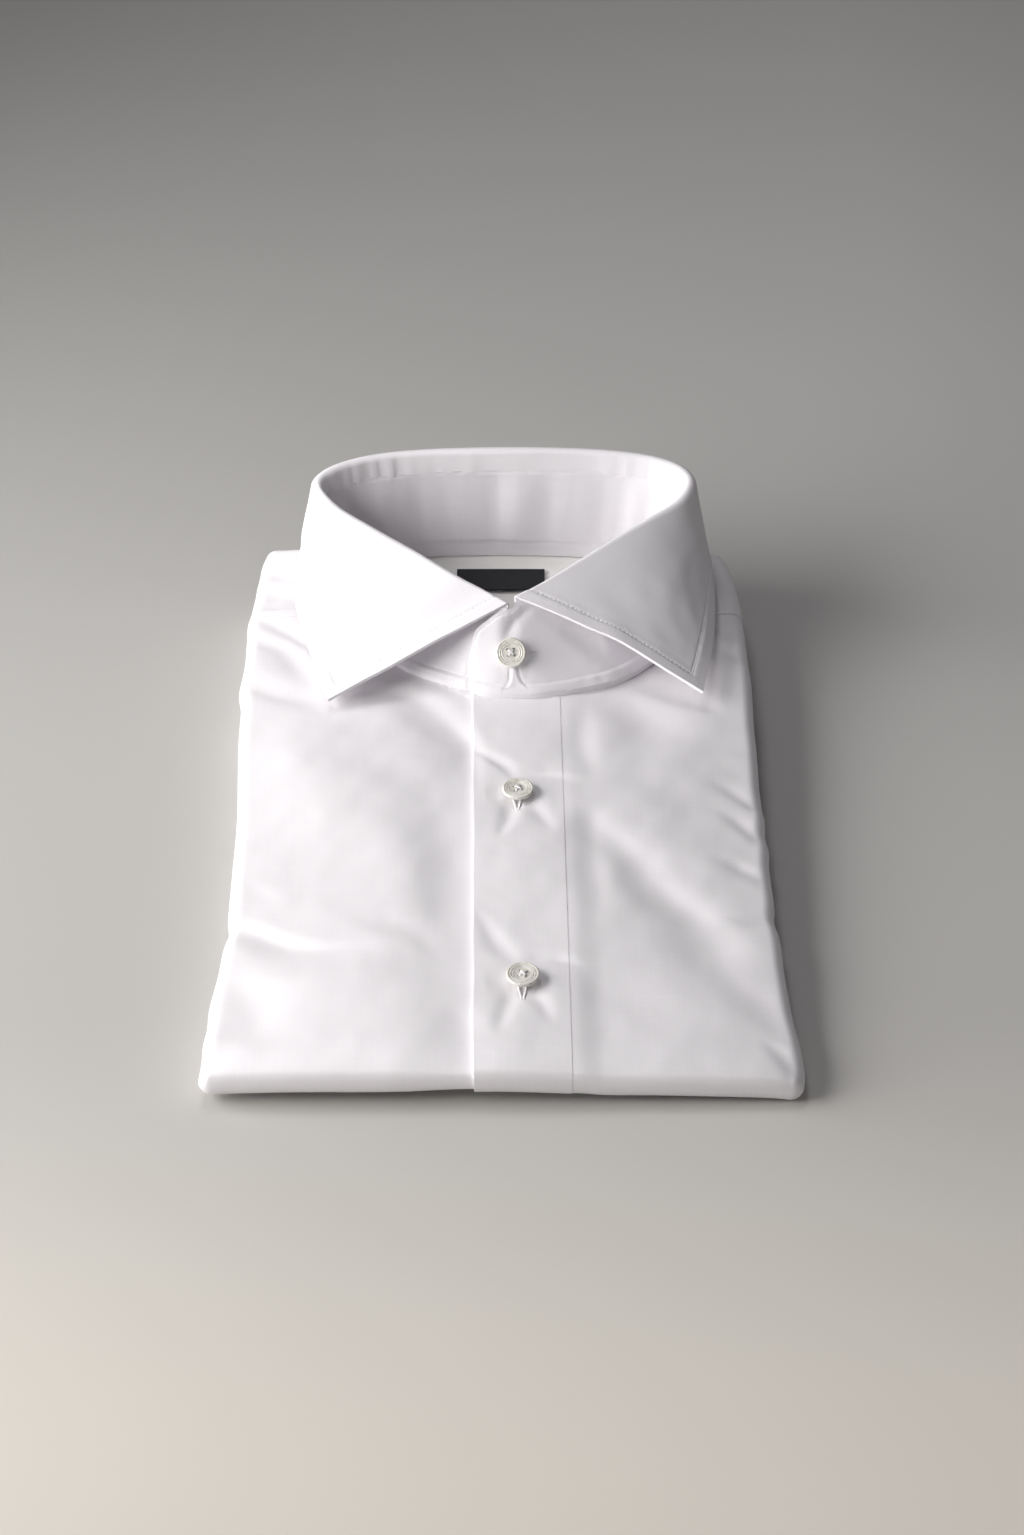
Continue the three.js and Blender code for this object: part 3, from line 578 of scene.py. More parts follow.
def turned_edge(radius_at):
    """The steps of a folded edge: out, down and under, on a soft radius."""
    def step(share):
        def angles(sides):
            lean = FRONT_LEAN * np.maximum(0, -sides[:, 1])
            return lean, mix(lean, ROLL_TURN, share)

        def reach(start, sides):
            lean, angle = angles(sides)
            press = mix(1, FRONT_PRESS, np.maximum(0, -sides[:, 1]))
            return radius_at(start[:, 0], start[:, 1]) * press * (np.sin(angle) - np.sin(lean))

        def height(ground, start, sides):
            lean, angle = angles(sides)
            radius = radius_at(start[:, 0], start[:, 1])
            return start[:, 2] - radius * (np.cos(lean) - np.cos(angle))
        return reach, height
    return [step(k / TURN_STEPS) for k in range(1, TURN_STEPS + 1)]


# %% [markdown]
# ## From points to a piece
# A sheet has no thickness yet. Solidify gives it its wall, Bevel rounds the rim of a piece whose
# edge is seen, and weighted normals keep the large faces beside that rim smooth. Modelling both
# faces by hand would double the work, and every change would have to be made twice.

# %% A piece of cloth
NO_SEAM = 50.0  # a distance from any stitches that is too far to count


def make_piece(name, cloth, material, thickness=CLOTH, offset=-1.0, seams=None, round_rim=0.0):
    """A mesh object from a sheet, with its UV map, its seam distances and its thickness."""
    mesh = bpy.data.meshes.new(name)
    used = sorted({n for face in cloth.faces for n in face})
    number = {old: new for new, old in enumerate(used)}
    mesh.from_pydata(metres(cloth.points[used]).tolist(), [],
                     [[number[n] for n in face] for face in cloth.faces])
    corner = np.zeros(len(mesh.loops), dtype=np.int32)
    mesh.loops.foreach_get("vertex_index", corner)
    layer = mesh.uv_layers.new(name="flat")
    layer.data.foreach_set("uv", (cloth.flat[used][corner] / 1000).ravel())
    away = mesh.attributes.new("seam", "FLOAT", "POINT")
    reach = np.full(len(used), NO_SEAM) if seams is None else seams[used]
    away.data.foreach_set("value", reach)
    mesh.polygons.foreach_set("use_smooth", [True] * len(mesh.polygons))
    mesh.materials.append(material)
    piece = bpy.data.objects.new(name, mesh)
    bpy.context.collection.objects.link(piece)
    if thickness:
        wall = piece.modifiers.new("thickness", "SOLIDIFY")
        wall.thickness = thickness / 1000
        wall.offset = offset
        wall.use_even_offset = False
    if round_rim:
        rim = piece.modifiers.new("rounded rim", "BEVEL")
        rim.width = round_rim / 1000
        rim.segments = 2
        rim.limit_method = "ANGLE"
        rim.angle_limit = math.radians(50)
        even = piece.modifiers.new("even shading", "WEIGHTED_NORMAL")
        even.mode = "FACE_AREA_WITH_ANGLE"
    print(name, len(mesh.polygons), "faces")
    return piece


# %% [markdown]
# ## Cottons
# The body is a fine cotton poplin with a soft satin finish: nearly white, with a broad weak gloss
# that brightens the rolled edges. Its threads are 0.15 mm apart, too fine for a picture of a whole
# shirt, so they are drawn about three times as coarse, as faint slubs along and across the cloth.
# The stitches sit in a shallow dimple that follows the seam attribute.


# %% Woven cotton
THREAD = 0.00045  # metres between drawn threads


def cotton(name, shade, dark_shade, gloss, weave=1.0):
    """Cotton: soft sheen, faint slubs both ways, and a dimple along each row of stitches."""
    material, tree, output = new_material(name)
    flat = put(tree, "ShaderNodeUVMap", uv_map="flat").outputs["UV"]
    threads = []
    for across in ((1, 0.04, 1), (0.04, 1, 1)):
        stretched = put(tree, "ShaderNodeMapping", {"Vector": flat, "Scale": across})
        threads.append(put(tree, "ShaderNodeTexNoise", {
            "Vector": stretched.outputs["Vector"], "Scale": 1 / (2 * THREAD), "Detail": 2.0,
            "Roughness": 0.6}).outputs["Fac"])
    woven = put(tree, "ShaderNodeMath", {0: threads[0], 1: threads[1]}, operation="ADD").outputs[0]
    # clouds of about 45 mm
    cloudy = put(tree, "ShaderNodeTexNoise", {"Vector": flat, "Scale": 22.0, "Detail": 2.0})
    tone = put(tree, "ShaderNodeMapRange", {
        "Value": woven, "From Min": 0.6, "From Max": 1.4, "To Min": 0.0, "To Max": 0.7})
    blend = put(tree, "ShaderNodeMath", {
        0: tone.outputs["Result"], 1: cloudy.outputs["Fac"]}, operation="MULTIPLY").outputs[0]
    shade_mix = put(tree, "ShaderNodeMix", {
        "Factor": blend, "A": colour(shade), "B": colour(dark_shade)}, data_type="RGBA")
    seam = put(tree, "ShaderNodeAttribute", attribute_name="seam").outputs["Fac"]
    dimple = put(tree, "ShaderNodeMapRange", {
        "Value": seam, "From Min": 0.15, "From Max": 1.3, "To Min": 0.0, "To Max": 1.0},
        interpolation_type="SMOOTHSTEP")
    near = put(tree, "ShaderNodeMapRange", {
        "Value": seam, "From Min": 0.4, "From Max": 4.5, "To Min": 1.0, "To Max": 0.0},
        interpolation_type="SMOOTHSTEP")
    # puckers of about 3 mm beside a seam
    pucker = put(tree, "ShaderNodeTexNoise", {"Vector": flat, "Scale": 330.0, "Detail": 1.0})
    drawn = put(tree, "ShaderNodeMath", {
        0: near.outputs["Result"], 1: pucker.outputs["Fac"]}, operation="MULTIPLY").outputs[0]
    low = put(tree, "ShaderNodeBump", {
        "Height": dimple.outputs["Result"], "Distance": 0.00022, "Strength": 0.8})
    mid = put(tree, "ShaderNodeBump", {
        "Height": drawn, "Distance": 0.0004, "Strength": 0.6, "Normal": low.outputs["Normal"]})
    top = put(tree, "ShaderNodeBump", {
        "Height": woven, "Distance": 0.00003, "Strength": 0.5 * weave,
        "Normal": mid.outputs["Normal"]})
    shader = put(tree, "ShaderNodeBsdfPrincipled", {
        "Base Color": shade_mix.outputs["Result"], "Roughness": gloss, "IOR": 1.45,
        "Specular IOR Level": 0.6, "Sheen Weight": 0.18, "Sheen Roughness": 0.45,
        "Sheen Tint": colour("#ffffff"), "Normal": top.outputs["Normal"]})
    tree.links.new(shader.outputs["BSDF"], output.inputs["Surface"])
    return material


shirt_cotton = cotton("satin_finished_cotton", "#f4f1f4", "#e7e3e8", 0.38)
collar_cotton = cotton("interlined_collar_cotton", "#f5f2f6", "#e9e5eb", 0.5)
yoke_cotton = cotton("inner_yoke_cotton", "#f0eeeb", "#e6e3df", 0.6)
layer_cotton = cotton("folded_under_cotton", "#efecf0", "#e2dfe5", 0.55)
print("cottons: 4, with a thread drawn every", 1000 * THREAD, "mm")

# %% [markdown]
# ## The line of the neck
# The fronts and the yoke are cut out along the line where the collar band is sewn on. Faces inside
# the line go, and the points left inside it are pulled onto it, so that the cloth meets the band all
# the way. A boolean would cut a truer curve, but it would leave slivers and lose the flat places.

# %% The collar's sections, from its right front round the back to its left front
# foot of the band (x, y), top of the fold (x, y, z), outer edge of the leaf (x, y, z)
COLLAR = [
    ((15, 55.2), (5.4, 83.6, 56.2), (81, 51, 32)),
    ((30, 59), (17, 92, 58), (82.5, 60, 32.2)),
    ((48, 66.5), (30, 102.5, 60.5), (84.5, 71, 32.5)),
    ((64, 82), (45, 114, 64), (86.5, 85, 33)),
    ((74, 101), (60, 125, 67.5), (88, 101, 33.7)),
    ((78.5, 119), (74, 135.5, 71), (88.7, 119, 34.5)),
    ((77.5, 133), (79, 145, 74.5), (88.7, 138, 35.2)),
    ((71, 142), (76, 152, 76), (86.5, 154, 34.6)),
    ((59, 148.7), (66, 159, 76.7), (78, 168.5, 33.5)),
    ((40, 153), (46, 163.5, 77.4), (60, 176, 32.3)),
    ((0, 155), (0, 165, 78), (0, 180, 31)),
    ((-40, 153), (-46, 162, 77.5), (-60, 175, 31.5)),
    ((-59, 148.7), (-64, 157, 76.6), (-77, 167, 32.6)),
    ((-71, 142), (-74, 151, 75.5), (-86, 152, 34)),
    ((-77.5, 130), (-78, 144, 74), (-87.2, 136, 34.8)),
    ((-76, 113), (-71, 134, 70), (-86, 112, 34)),
    ((-67, 97), (-53, 120, 66), (-82, 92, 32.6)),
    ((-51, 84), (-36, 109, 62), (-78, 76, 31.6)),
    ((-36, 70), (-18, 95, 58.5), (-75, 62, 31.2)),
    ((-24, 63.5), (-6.5, 88, 56), (-72.5, 54, 31)),
    ((-14, 59.8), (2.4, 80.5, 54.8), (-70, 47, 31))]
# the band's rounded outer end, then its inner end behind it: foot (x, y), head (x, y, z)
BAND_TAB = [
    ((-12.6, 58.4), (-13, 66.4, 36.5)),
    ((-9.5, 56.8), (-10.6, 74.1, 46.8)),
    ((-5.5, 55.6), (-6.2, 76.2, 50.1)),
    ((-1, 55), (-1.5, 78.3, 52.7)),
    ((7, 54.8), (3.6, 80.3, 53.6))]
BAND_UNDER = [((-3, 58.2), (4.5, 81.2, 46.2)), ((16, 59), (14.5, 85.6, 45))]


NECK_PER_ROW = 6
neck_rows = [foot for foot, _ in BAND_TAB] + [row[0] for row in COLLAR[:-1]]
neck_line = curve_through(neck_rows, NECK_PER_ROW, closed=True)


def inside_neck(x, y, line):
    """Whether points lie inside a closed line."""
    inside = np.zeros(np.shape(x), bool)
    for (x1, y1), (x2, y2) in zip(line, np.roll(line, -1, axis=0)):
        crosses = (y1 > y) != (y2 > y)
        at = (x2 - x1) * (y - y1) / np.where(y2 == y1, 1e-9, y2 - y1) + x1
        inside ^= crosses & (x < at)
    return inside


def moved_out(line, reach):
    """A closed counterclockwise line, moved outward."""
    along = np.roll(line, -1, axis=0) - np.roll(line, 1, axis=0)
    along /= np.linalg.norm(along, axis=1)[:, None]
    return line + reach * np.column_stack([along[:, 1], -along[:, 0]])


NECK_CUT = moved_out(neck_line, 0.4)  # a little outside it, under the band's wall
NECK_STEPS = 8  # places on the cut between two of its points
NECK_SINK = 0.2  # the cloth ends a little inside the band's foot
neck_steps = np.linalg.norm(neck_line - np.roll(neck_line, 1, axis=0), axis=1)
print("round the neck:", round(neck_steps.sum()), "mm")


def cut_neck(cloth):
    """Removes the faces inside the neck and pulls the points left there onto its line."""
    x, y = cloth.points[:, 0], cloth.points[:, 1]
    inside = inside_neck(x, y, NECK_CUT) & (cloth.points[:, 2] > flat_top(y) - 4)
    cloth.faces = [face for face in cloth.faces if not all(inside[n] for n in face)]
    kept = sorted({n for face in cloth.faces for n in face if inside[n]})
    closed = np.vstack([NECK_CUT, NECK_CUT[:1]])
    steps = np.linspace(0, 1, NECK_STEPS, endpoint=False)[:, None, None]
    dense = (closed[:-1] * (1 - steps) + closed[1:] * steps).reshape(-1, 2)
    for n in kept:
        nearest = dense[np.argmin(np.hypot(*(dense - cloth.points[n, :2]).T))]
        cloth.points[n, :2] = nearest
        cloth.points[n, 2] = top_height(*nearest) - NECK_SINK


# %% [markdown]
# ## Right front
# On a shirt that closes the man's way, the right front lies underneath: its button edge runs on
# below the placket. So its cloth dips there by the placket's thickness. Its side and its front fold
# roll down over the layers below, which the rows of the turned edge make.

# %% Right front
GRID_FRONT = FRONT_FOLD_Y + ROLL_RADIUS + FRONT_TUCK
UNDERLAP = 30.0  # width of its button edge below the placket
UNDER_DIP = 1.25
UNDERLAP_RISE = 30.0  # over this width it comes up again beside the placket
FRONT_CELL = 1.6


def cells(length, cell=FRONT_CELL):
    """How many cells of a grid go into a length."""
    return round(length / cell)


def full_roll(x, y):
    """The radius of a side that rolls over all the layers below."""
    return ROLL_RADIUS + 0 * x


def turned_and_cut(name, cloth, at, turned_sides, radius_at, stitches):
    """Turns the sides of a sheet under, cuts its neck and sews it along the yoke seam."""
    chain, sides = edge_chain(at, turned_sides)
    cloth.rings(chain, sides, turned_edge(radius_at))
    seams = np.abs(cloth.points[:, 1] - yoke_seam(cloth.points[:, 0]) - stitches)
    cut_neck(cloth)
    return make_piece(name, cloth, shirt_cotton, seams=seams)


def front_dip(x, y):
    """How far the right front lies below the plane, so that the placket can lie on it."""
    return UNDER_DIP * smooth(1 - (placket_left(y) - 1 - x) / UNDERLAP_RISE)


def right_front():
    cloth = Cloth()

    def place(u, v):
        middle = mix(GRID_FRONT, YOKE_SEAM_Y, v)
        x = mix(outline_at(middle, "left") + ROLL_RADIUS, placket_left(middle) + UNDERLAP, u)
        y = mix(GRID_FRONT, yoke_seam(x), v)
        return x, y, top_height(x, y) - front_dip(x, y)

    at = cloth.grid(place, cells(122), cells(268))
    return turned_and_cut("right_front_cloth", cloth, at, ["left", "front"],
                          lambda x, y: ROLL_RADIUS - front_dip(x, y), -YOKE_LAP)


right_front_cloth = right_front()

# %% [markdown]
# ## Left front
# The placket is sewn onto the edge of the left front, so this piece ends just under the placket's
# right seam. Beside the seam the cloth falls away a little, as thin cloth does beside four layers,
# and the fall comes and goes along the seam, because an even one would look like a groove.

# %% Left front
SEAM_REACH = 2.2  # how far the left front reaches under the placket
SEAM_STEP = 0.12  # and how far below it lies there
BESIDE_FALL = 0.4  # depth of the fall beside the placket
FALL_STARTS = 12  # width over which it deepens
FALL_ENDS = (10, 26)  # where it begins to fade, and over what width


def left_front():
    cloth = Cloth()

    def place(u, v):
        middle = mix(GRID_FRONT, YOKE_SEAM_Y, v)
        under = placket_left(middle) + PLACKET_WIDTH - SEAM_REACH
        x = mix(under, outline_at(middle, "right") - ROLL_RADIUS, u)
        y = mix(GRID_FRONT, yoke_seam(x), v)
        beside = x - under - SEAM_REACH
        fade = smooth(1 - (beside - FALL_ENDS[0]) / FALL_ENDS[1])
        fall = BESIDE_FALL * smooth(beside / FALL_STARTS) * fade
        fall = fall * (1 + 0.4 * ripple(0 * y, y, 70, 65))
        return x, y, top_height(x, y) - SEAM_STEP * smooth(1 - beside / 4) - fall

    at = cloth.grid(place, cells(74), cells(268))
    return turned_and_cut("left_front_cloth", cloth, at, ["front", "right"], full_roll, -YOKE_LAP)


left_front_cloth = left_front()

# %% [markdown]
# ## Placket
# The placket is a strip folded double over an interlining, so it is stiffer and thicker than the
# fronts and its left edge is a fold that stands up from the cloth. Each buttonhole lies along it,
# half under its button, and its end shows in front of the button as a short slit. The slit is a
# hollow in the same grid, which has smaller cells for it.

# %% Placket
PLACKET_TOP = 62.0
PLACKET_LIFT = 0.35
PLACKET_THICKNESS = 1.1
PLACKET_CELL = 0.9
BUTTONHOLE_ENDS = [(6.2, -14.0), (7.9, -118.0)]
SLIT_DEPTH = 0.75
SLIT_WIDTH = 0.9
SLIT_LENGTH = 12


def front_placket():
    cloth = Cloth()

    def place(u, v):
        y = mix(GRID_FRONT, PLACKET_TOP, v)
        x = placket_left(y) + PLACKET_WIDTH * u
        x = x + 0.10 * ripple(0 * y, y, 40, 11) * (1 - u)
        lift = PLACKET_LIFT * smooth((0.98 - u) / 0.7)
        slit = 0
        for hole_x, hole_y in BUTTONHOLE_ENDS:
            along = smooth((y - hole_y) / 1.5) * smooth((hole_y + SLIT_LENGTH - y) / 3)
            slit = slit + along * np.exp(-((x - hole_x) / SLIT_WIDTH) ** 2)
        return x, y, top_height(x, y) + lift - SLIT_DEPTH * slit

    at = cloth.grid(place, cells(PLACKET_WIDTH, PLACKET_CELL), cells(218, PLACKET_CELL))
    chain, sides = edge_chain(at, ["front"])
    cloth.rings(chain, sides, turned_edge(lambda x, y: full_roll(x, y) + 0.2))
    cut_neck(cloth)
    return make_piece("front_placket_cloth", cloth, shirt_cotton, PLACKET_THICKNESS, round_rim=0.4)


placket_cloth = front_placket()

# %% [markdown]
# ## Yoke
# The yoke is the double piece over the shoulders. It comes forward past the shoulder line, so its
# seam shows on both sides of the collar, and its pressed edge laps over the fronts. It turns under
# on three sides: at both shoulders, and at the back fold, where the collar end of the shirt rounds.

# %% Yoke
GRID_BACK = BACK_FOLD_Y - ROLL_RADIUS
LAP_LIFT = 0.45  # how far the yoke lies above the fronts at its edge
LAP_WIDTH = 7


def outer_yoke():
    cloth = Cloth()

    def place(u, v):
        middle = mix(YOKE_SEAM_Y, GRID_BACK, v)
        left = outline_at(middle, "left") + ROLL_RADIUS
        x = mix(left, outline_at(middle, "right") - ROLL_RADIUS, u)
        y = mix(yoke_seam(x) - YOKE_LAP, GRID_BACK, v)
        lap = LAP_LIFT * smooth(1 - (y - yoke_seam(x)) / LAP_WIDTH)
        return x, y, top_height(x, y) + lap

    at = cloth.grid(place, cells(198), cells(46))
    return turned_and_cut("yoke_cloth", cloth, at, ["right", "back", "left"], full_roll, YOKE_STITCH)


yoke_cloth = outer_yoke()

# %% [markdown]
# ## Hidden layers
# Below the top cloth lie the back, the sleeves and the tails, folded under. Only their rounded
# edges show, one under another and not quite in line. Each is a flat folded sheet with soft lips.

# %% Three folded layers
LAYER_CELL = 6.0
LAYER_INNER = 26.0  # from the outline to the even middle of a layer
LAYER_HOVER = 12.0  # how far they stop short of the front fold
LAYER_GAP = 0.15  # above and below each layer
LAYER_LIP = 5.0  # width of the part that the rounded lip takes
LIP_STEPS = 8
LEAST_STACK = 3.0  # height of all the layers where the top cloth comes lowest
CLEARANCE = 0.7  # between them and the turned edge of the top cloth
# name, lowest and highest share of the stack, inset from the outline, seed
LAYERS = [("tail_layer", 0.0, 0.36, 3.2, 21), ("back_layer", 0.36, 0.68, 2.2, 22),
          ("sleeve_layer", 0.68, 1.0, 3.0, 23)]
# where a layer peeks out further: side, y, spread, reach
PEEKS = [("left", 63, 22, 1.2), ("left", -52, 26, 1.6), ("right", -152, 12, 3.2)]


def folded_layer(name, low, high, inset, seed):
    cloth = Cloth()

    def stack(x, y):
        return np.maximum(LEAST_STACK, top_height(x, y) - 2 * ROLL_RADIUS - CLEARANCE)

    def place(u, v):
        y = mix(FRONT_FOLD_Y + LAYER_INNER, BACK_FOLD_Y - LAYER_INNER, v)
        left = outline_at(y, "left") + LAYER_INNER
        x = mix(left, outline_at(y, "right") - LAYER_INNER, u)
        return x, y, stack(x, y) * high - LAYER_GAP

    columns, rows = cells(156, LAYER_CELL), cells(270, LAYER_CELL)
    at = cloth.grid(place, columns, rows)
    chain, sides = edge_chain(at, ["left", "front", "right", "back", "left"], 6, 0.22)
    once = len(chain) - (rows + 1)
    chain, sides = chain[:once], sides[:once]

    def reach_at(start, sides):
        where = start[:, 1]
        wavy = 0.5 * ripple(start[:, 0], where, 34, seed)
        hover = LAYER_HOVER * np.maximum(0, -sides[:, 1]) ** 2
        out = LAYER_INNER - inset - hover + wavy
        for side, y, spread, swell in PEEKS:
            sign = -1 if side == "left" else 1
            facing = np.maximum(0, sign * sides[:, 0])
            out = out + facing * swell * smooth(1 - np.abs(where - y) / spread)
        return out

    def lip(turn):
        def reach(start, sides):
            half = stack(start[:, 0], start[:, 1]) * (high - low) / 2
            return reach_at(start, sides) - half * (1 - math.sin(turn))

        def height(ground, start, sides):
            tall = stack(ground[:, 0], ground[:, 1])
            middle, half = tall * (low + high) / 2, tall * (high - low) / 2
            return middle + (half - LAYER_GAP) * math.cos(turn)
        return reach, height

    flat_out = [(lambda start, sides, s=s: (reach_at(start, sides) - LAYER_LIP) * s,
                 lambda ground, start, sides: stack(ground[:, 0], ground[:, 1]) * high - LAYER_GAP)
                for s in (0.5, 0.95)]
    turns = [lip(math.pi * k / LIP_STEPS) for k in range(LIP_STEPS + 1)]
    flat_in = [(lambda start, sides: (reach_at(start, sides) - LAYER_LIP) * 0.6,
                lambda ground, start, sides: stack(ground[:, 0], ground[:, 1]) * low + LAYER_GAP)]
    last = cloth.rings(chain, sides, flat_out + turns + flat_in, closed=True)
    top_points = cloth.points[at.ravel()]
    x, y = top_points[:, 0], top_points[:, 1]
    under = np.column_stack([x, y, stack(x, y) * low + LAYER_GAP])
    below = cloth.add(under, cloth.flat[at.ravel()]).reshape(at.shape)
    quads = np.stack([below[:-1, :-1], below[1:, :-1], below[1:, 1:], below[:-1, 1:]], axis=-1)
    cloth.faces += quads.reshape(-1, 4).tolist()
    number = dict(zip(at.ravel().tolist(), below.ravel().tolist()))
    cloth.join(last, np.array([number[int(n)] for n in chain]), True)
    if low == 0:
        cloth.points[:, 2] = np.maximum(cloth.points[:, 2], 0.05)
    return make_piece(name, cloth, layer_cotton, thickness=0)


layer_pieces = [folded_layer(*layer) for layer in LAYERS]

# %% [markdown]
# ## Collar
# A dress collar is a band that stands round the neck and a leaf that is sewn to its head and falls
# over it. Both are made from the same sections: the foot of the band, the top of the fold and the
# outer edge of the leaf. Between the sections runs a smooth line, so the collar bends evenly.

# %% Sections
PER_ROW = 12  # sections between two rows of the table
LEAF_ROLL = 2.0  # radius of the fold
ROLL_AT_ENDS = 0.9  # it grows sharper towards the front
LEAF_STRIP = 7.0  # depth of the strip inside the fold, down to the seam with the band
STRIP_AT_ENDS = 1.4
BACK_BULGE = 3.5  # of the leaf at its back
POINT_BULGE = 2.6  # at its left point, which is pushed out by the right one
SIDE_BULGE = 0.2  # and at its sides and right point
LEAF_THICKNESS = 1.3
BAND_THICKNESS = 1.4
BAND_UPRIGHT = 1.2  # height of the band's foot line above the top cloth
BAND_SINK = 1.6  # how far the band goes down behind that cloth


def unit(v):
    return v / np.linalg.norm(v, axis=-1, keepdims=True)


def foot_points(feet):
    feet = np.asarray(feet, float)
    return np.column_stack([feet, flat_top(feet[:, 1]) + BAND_UPRIGHT])


def dot(a, b):
    return np.sum(a * b, axis=-1, keepdims=True)


feet = curve_through(foot_points([row[0] for row in COLLAR]), PER_ROW)
folds = curve_through([row[1] for row in COLLAR], PER_ROW)
edges = curve_through([row[2] for row in COLLAR], PER_ROW)
fall = unit(edges - folds)
stand = unit(feet - folds)
up = -unit(fall + stand)
out = unit(fall - dot(fall, up) * up)
around = np.concatenate([[0], np.cumsum(np.linalg.norm(np.diff(folds, axis=0), axis=1))])
from_front = np.minimum(around, around[-1] - around)[:, None]
leaf_roll = mix(ROLL_AT_ENDS, LEAF_ROLL, smooth(from_front / 30))
leaf_strip = mix(STRIP_AT_ENDS, LEAF_STRIP, smooth(from_front / 34))
# the back and the points swell most, and the sides between them hardly at all
middle_bulge = np.where(folds[:, 1:2] > 140, BACK_BULGE,
                        np.where(folds[:, :1] > 3, POINT_BULGE, SIDE_BULGE))
leaf_bulge = mix(middle_bulge, SIDE_BULGE, smooth((np.abs(folds[:, :1]) - 42) / 28))
centre = folds - leaf_roll * up
inside = centre - leaf_roll * out
outward = unit(out - dot(out, fall) * fall)
print("round the fold of the collar:", round(around[-1]), "mm")


def flat_places(lines):
    """Flat places of a sheet made of lines side by side: distance round, and along each line."""
    down = np.concatenate([np.zeros((len(lines), 1)), np.cumsum(
        np.linalg.norm(np.diff(lines, axis=1), axis=2), axis=1)], axis=1)
    middle = lines[:, lines.shape[1] // 2]
    round_it = np.concatenate([[0], np.cumsum(np.linalg.norm(np.diff(middle, axis=0), axis=1))])
    return np.stack([np.broadcast_to(round_it[:, None], down.shape), down], axis=-1)


def cloth_of_lines(lines):
    cloth = Cloth()
    count, depth = lines.shape[:2]
    numbers = cloth.add(lines.reshape(-1, 3), flat_places(lines).reshape(-1, 2)).reshape(count, depth)
    quads = np.stack([numbers[:-1, :-1], numbers[1:, :-1], numbers[1:, 1:], numbers[:-1, 1:]],
                     axis=-1)
    cloth.faces = quads.reshape(-1, 4).tolist()
    return cloth


# %% [markdown]
# ## Leaf
# The leaf is two layers of cloth over a stiff interlining, turned right side out and pressed, so it
# stands away from the shirt in one clean curve. Its lines run from the outer edge up the fall, over
# the fold and down inside to the seam with the band. The seam allowance inside makes a border along
# its edge that is a little thicker up to the topstitching.

# %% The leaf's fall, fold and strip
FALL_ROWS = 52
ROLL_ROWS = 12
STRIP_ROWS = 6
STITCH_IN = 6.0  # from the leaf's edge to its topstitching

share = np.linspace(0, 1, FALL_ROWS, endpoint=False) ** 1.3
start = centre + leaf_roll * out
fall_rows = (edges[:, None] * (1 - share)[None, :, None] + start[:, None] * share[None, :, None]
             + outward[:, None] * (leaf_bulge * np.sin(np.pi * share)[None, :])[:, :, None])
turns = np.linspace(0, math.pi, ROLL_ROWS)
roll_rows = (centre[:, None] + leaf_roll[:, None] * (
    out[:, None] * np.cos(turns)[None, :, None] + up[:, None] * np.sin(turns)[None, :, None]))
down = np.linspace(0, 1, STRIP_ROWS + 1)[1:]
strip_rows = inside[:, None] + stand[:, None] * (leaf_strip * down[None, :])[:, :, None]
leaf_lines = np.concatenate([fall_rows, roll_rows, strip_rows], axis=1)

# %% Puckers and waves of the leaf
# short puckers where the seam draws the strip in, strongest at the back left
strip_depth = np.concatenate([np.zeros(FALL_ROWS + ROLL_ROWS // 2),
                              np.linspace(0, 1, ROLL_ROWS - ROLL_ROWS // 2 + STRIP_ROWS)])
left_back = np.exp(-((around - 0.62 * around[-1]) / 45) ** 2)
pucker_line = ripple(around, 0 * around, 5.5, 31) * (0.2 + 0.3 * left_back)
leaf_lines = leaf_lines + out[:, None] * (pucker_line[:, None] * strip_depth[None, :])[:, :, None]
# slow waves in the fall, of a pressed but handled collar
slow = ripple(around[:, None] + 0 * share, 60 * share[None, :], 46, 33)
quick = ripple(around[:, None] + 0 * share, 60 * share[None, :], 19, 34)
leaf_lines[:, :FALL_ROWS] += outward[:, None] * (
    (0.4 * slow + 0.18 * quick) * np.sin(np.pi * share)[None, :])[:, :, None]


# %% Distances and normals on a sheet
def distance_to_row(points, row):
    """Distance from each point to a line of points in space."""
    flat_points = points.reshape(-1, 3)
    best = np.full(len(flat_points), 1e9)
    for a, b in zip(row[:-1], row[1:]):
        d = b - a
        t = np.clip((flat_points - a) @ d / max(d @ d, 1e-9), 0, 1)
        best = np.minimum(best, np.linalg.norm(flat_points - a - t[:, None] * d, axis=1))
    return best.reshape(points.shape[:-1])


def surface_normals(lines):
    """Outward normals of a sheet made of lines side by side."""
    return unit(np.cross(np.gradient(lines, axis=0), np.gradient(lines, axis=1)))


# %% The leaf's border, stitches and mesh
BORDER = 0.28  # how much the seam allowance adds

from_right_front = distance_to_row(leaf_lines, leaf_lines[0, :FALL_ROWS + 1])
from_left_front = distance_to_row(leaf_lines, leaf_lines[-1, :FALL_ROWS + 1])
from_outer_edge = distance_to_row(leaf_lines, leaf_lines[::3, 0])
rim = np.minimum(np.minimum(from_right_front, from_left_front), from_outer_edge)
on_strip = np.arange(leaf_lines.shape[1]) > FALL_ROWS + ROLL_ROWS // 2
stitch_away = np.where(on_strip[None, :], NO_SEAM, np.abs(rim - STITCH_IN))
leaf_normals = surface_normals(leaf_lines)
if np.mean(np.sum(leaf_normals[:, 5] * outward, axis=1)) < 0:
    leaf_normals = -leaf_normals
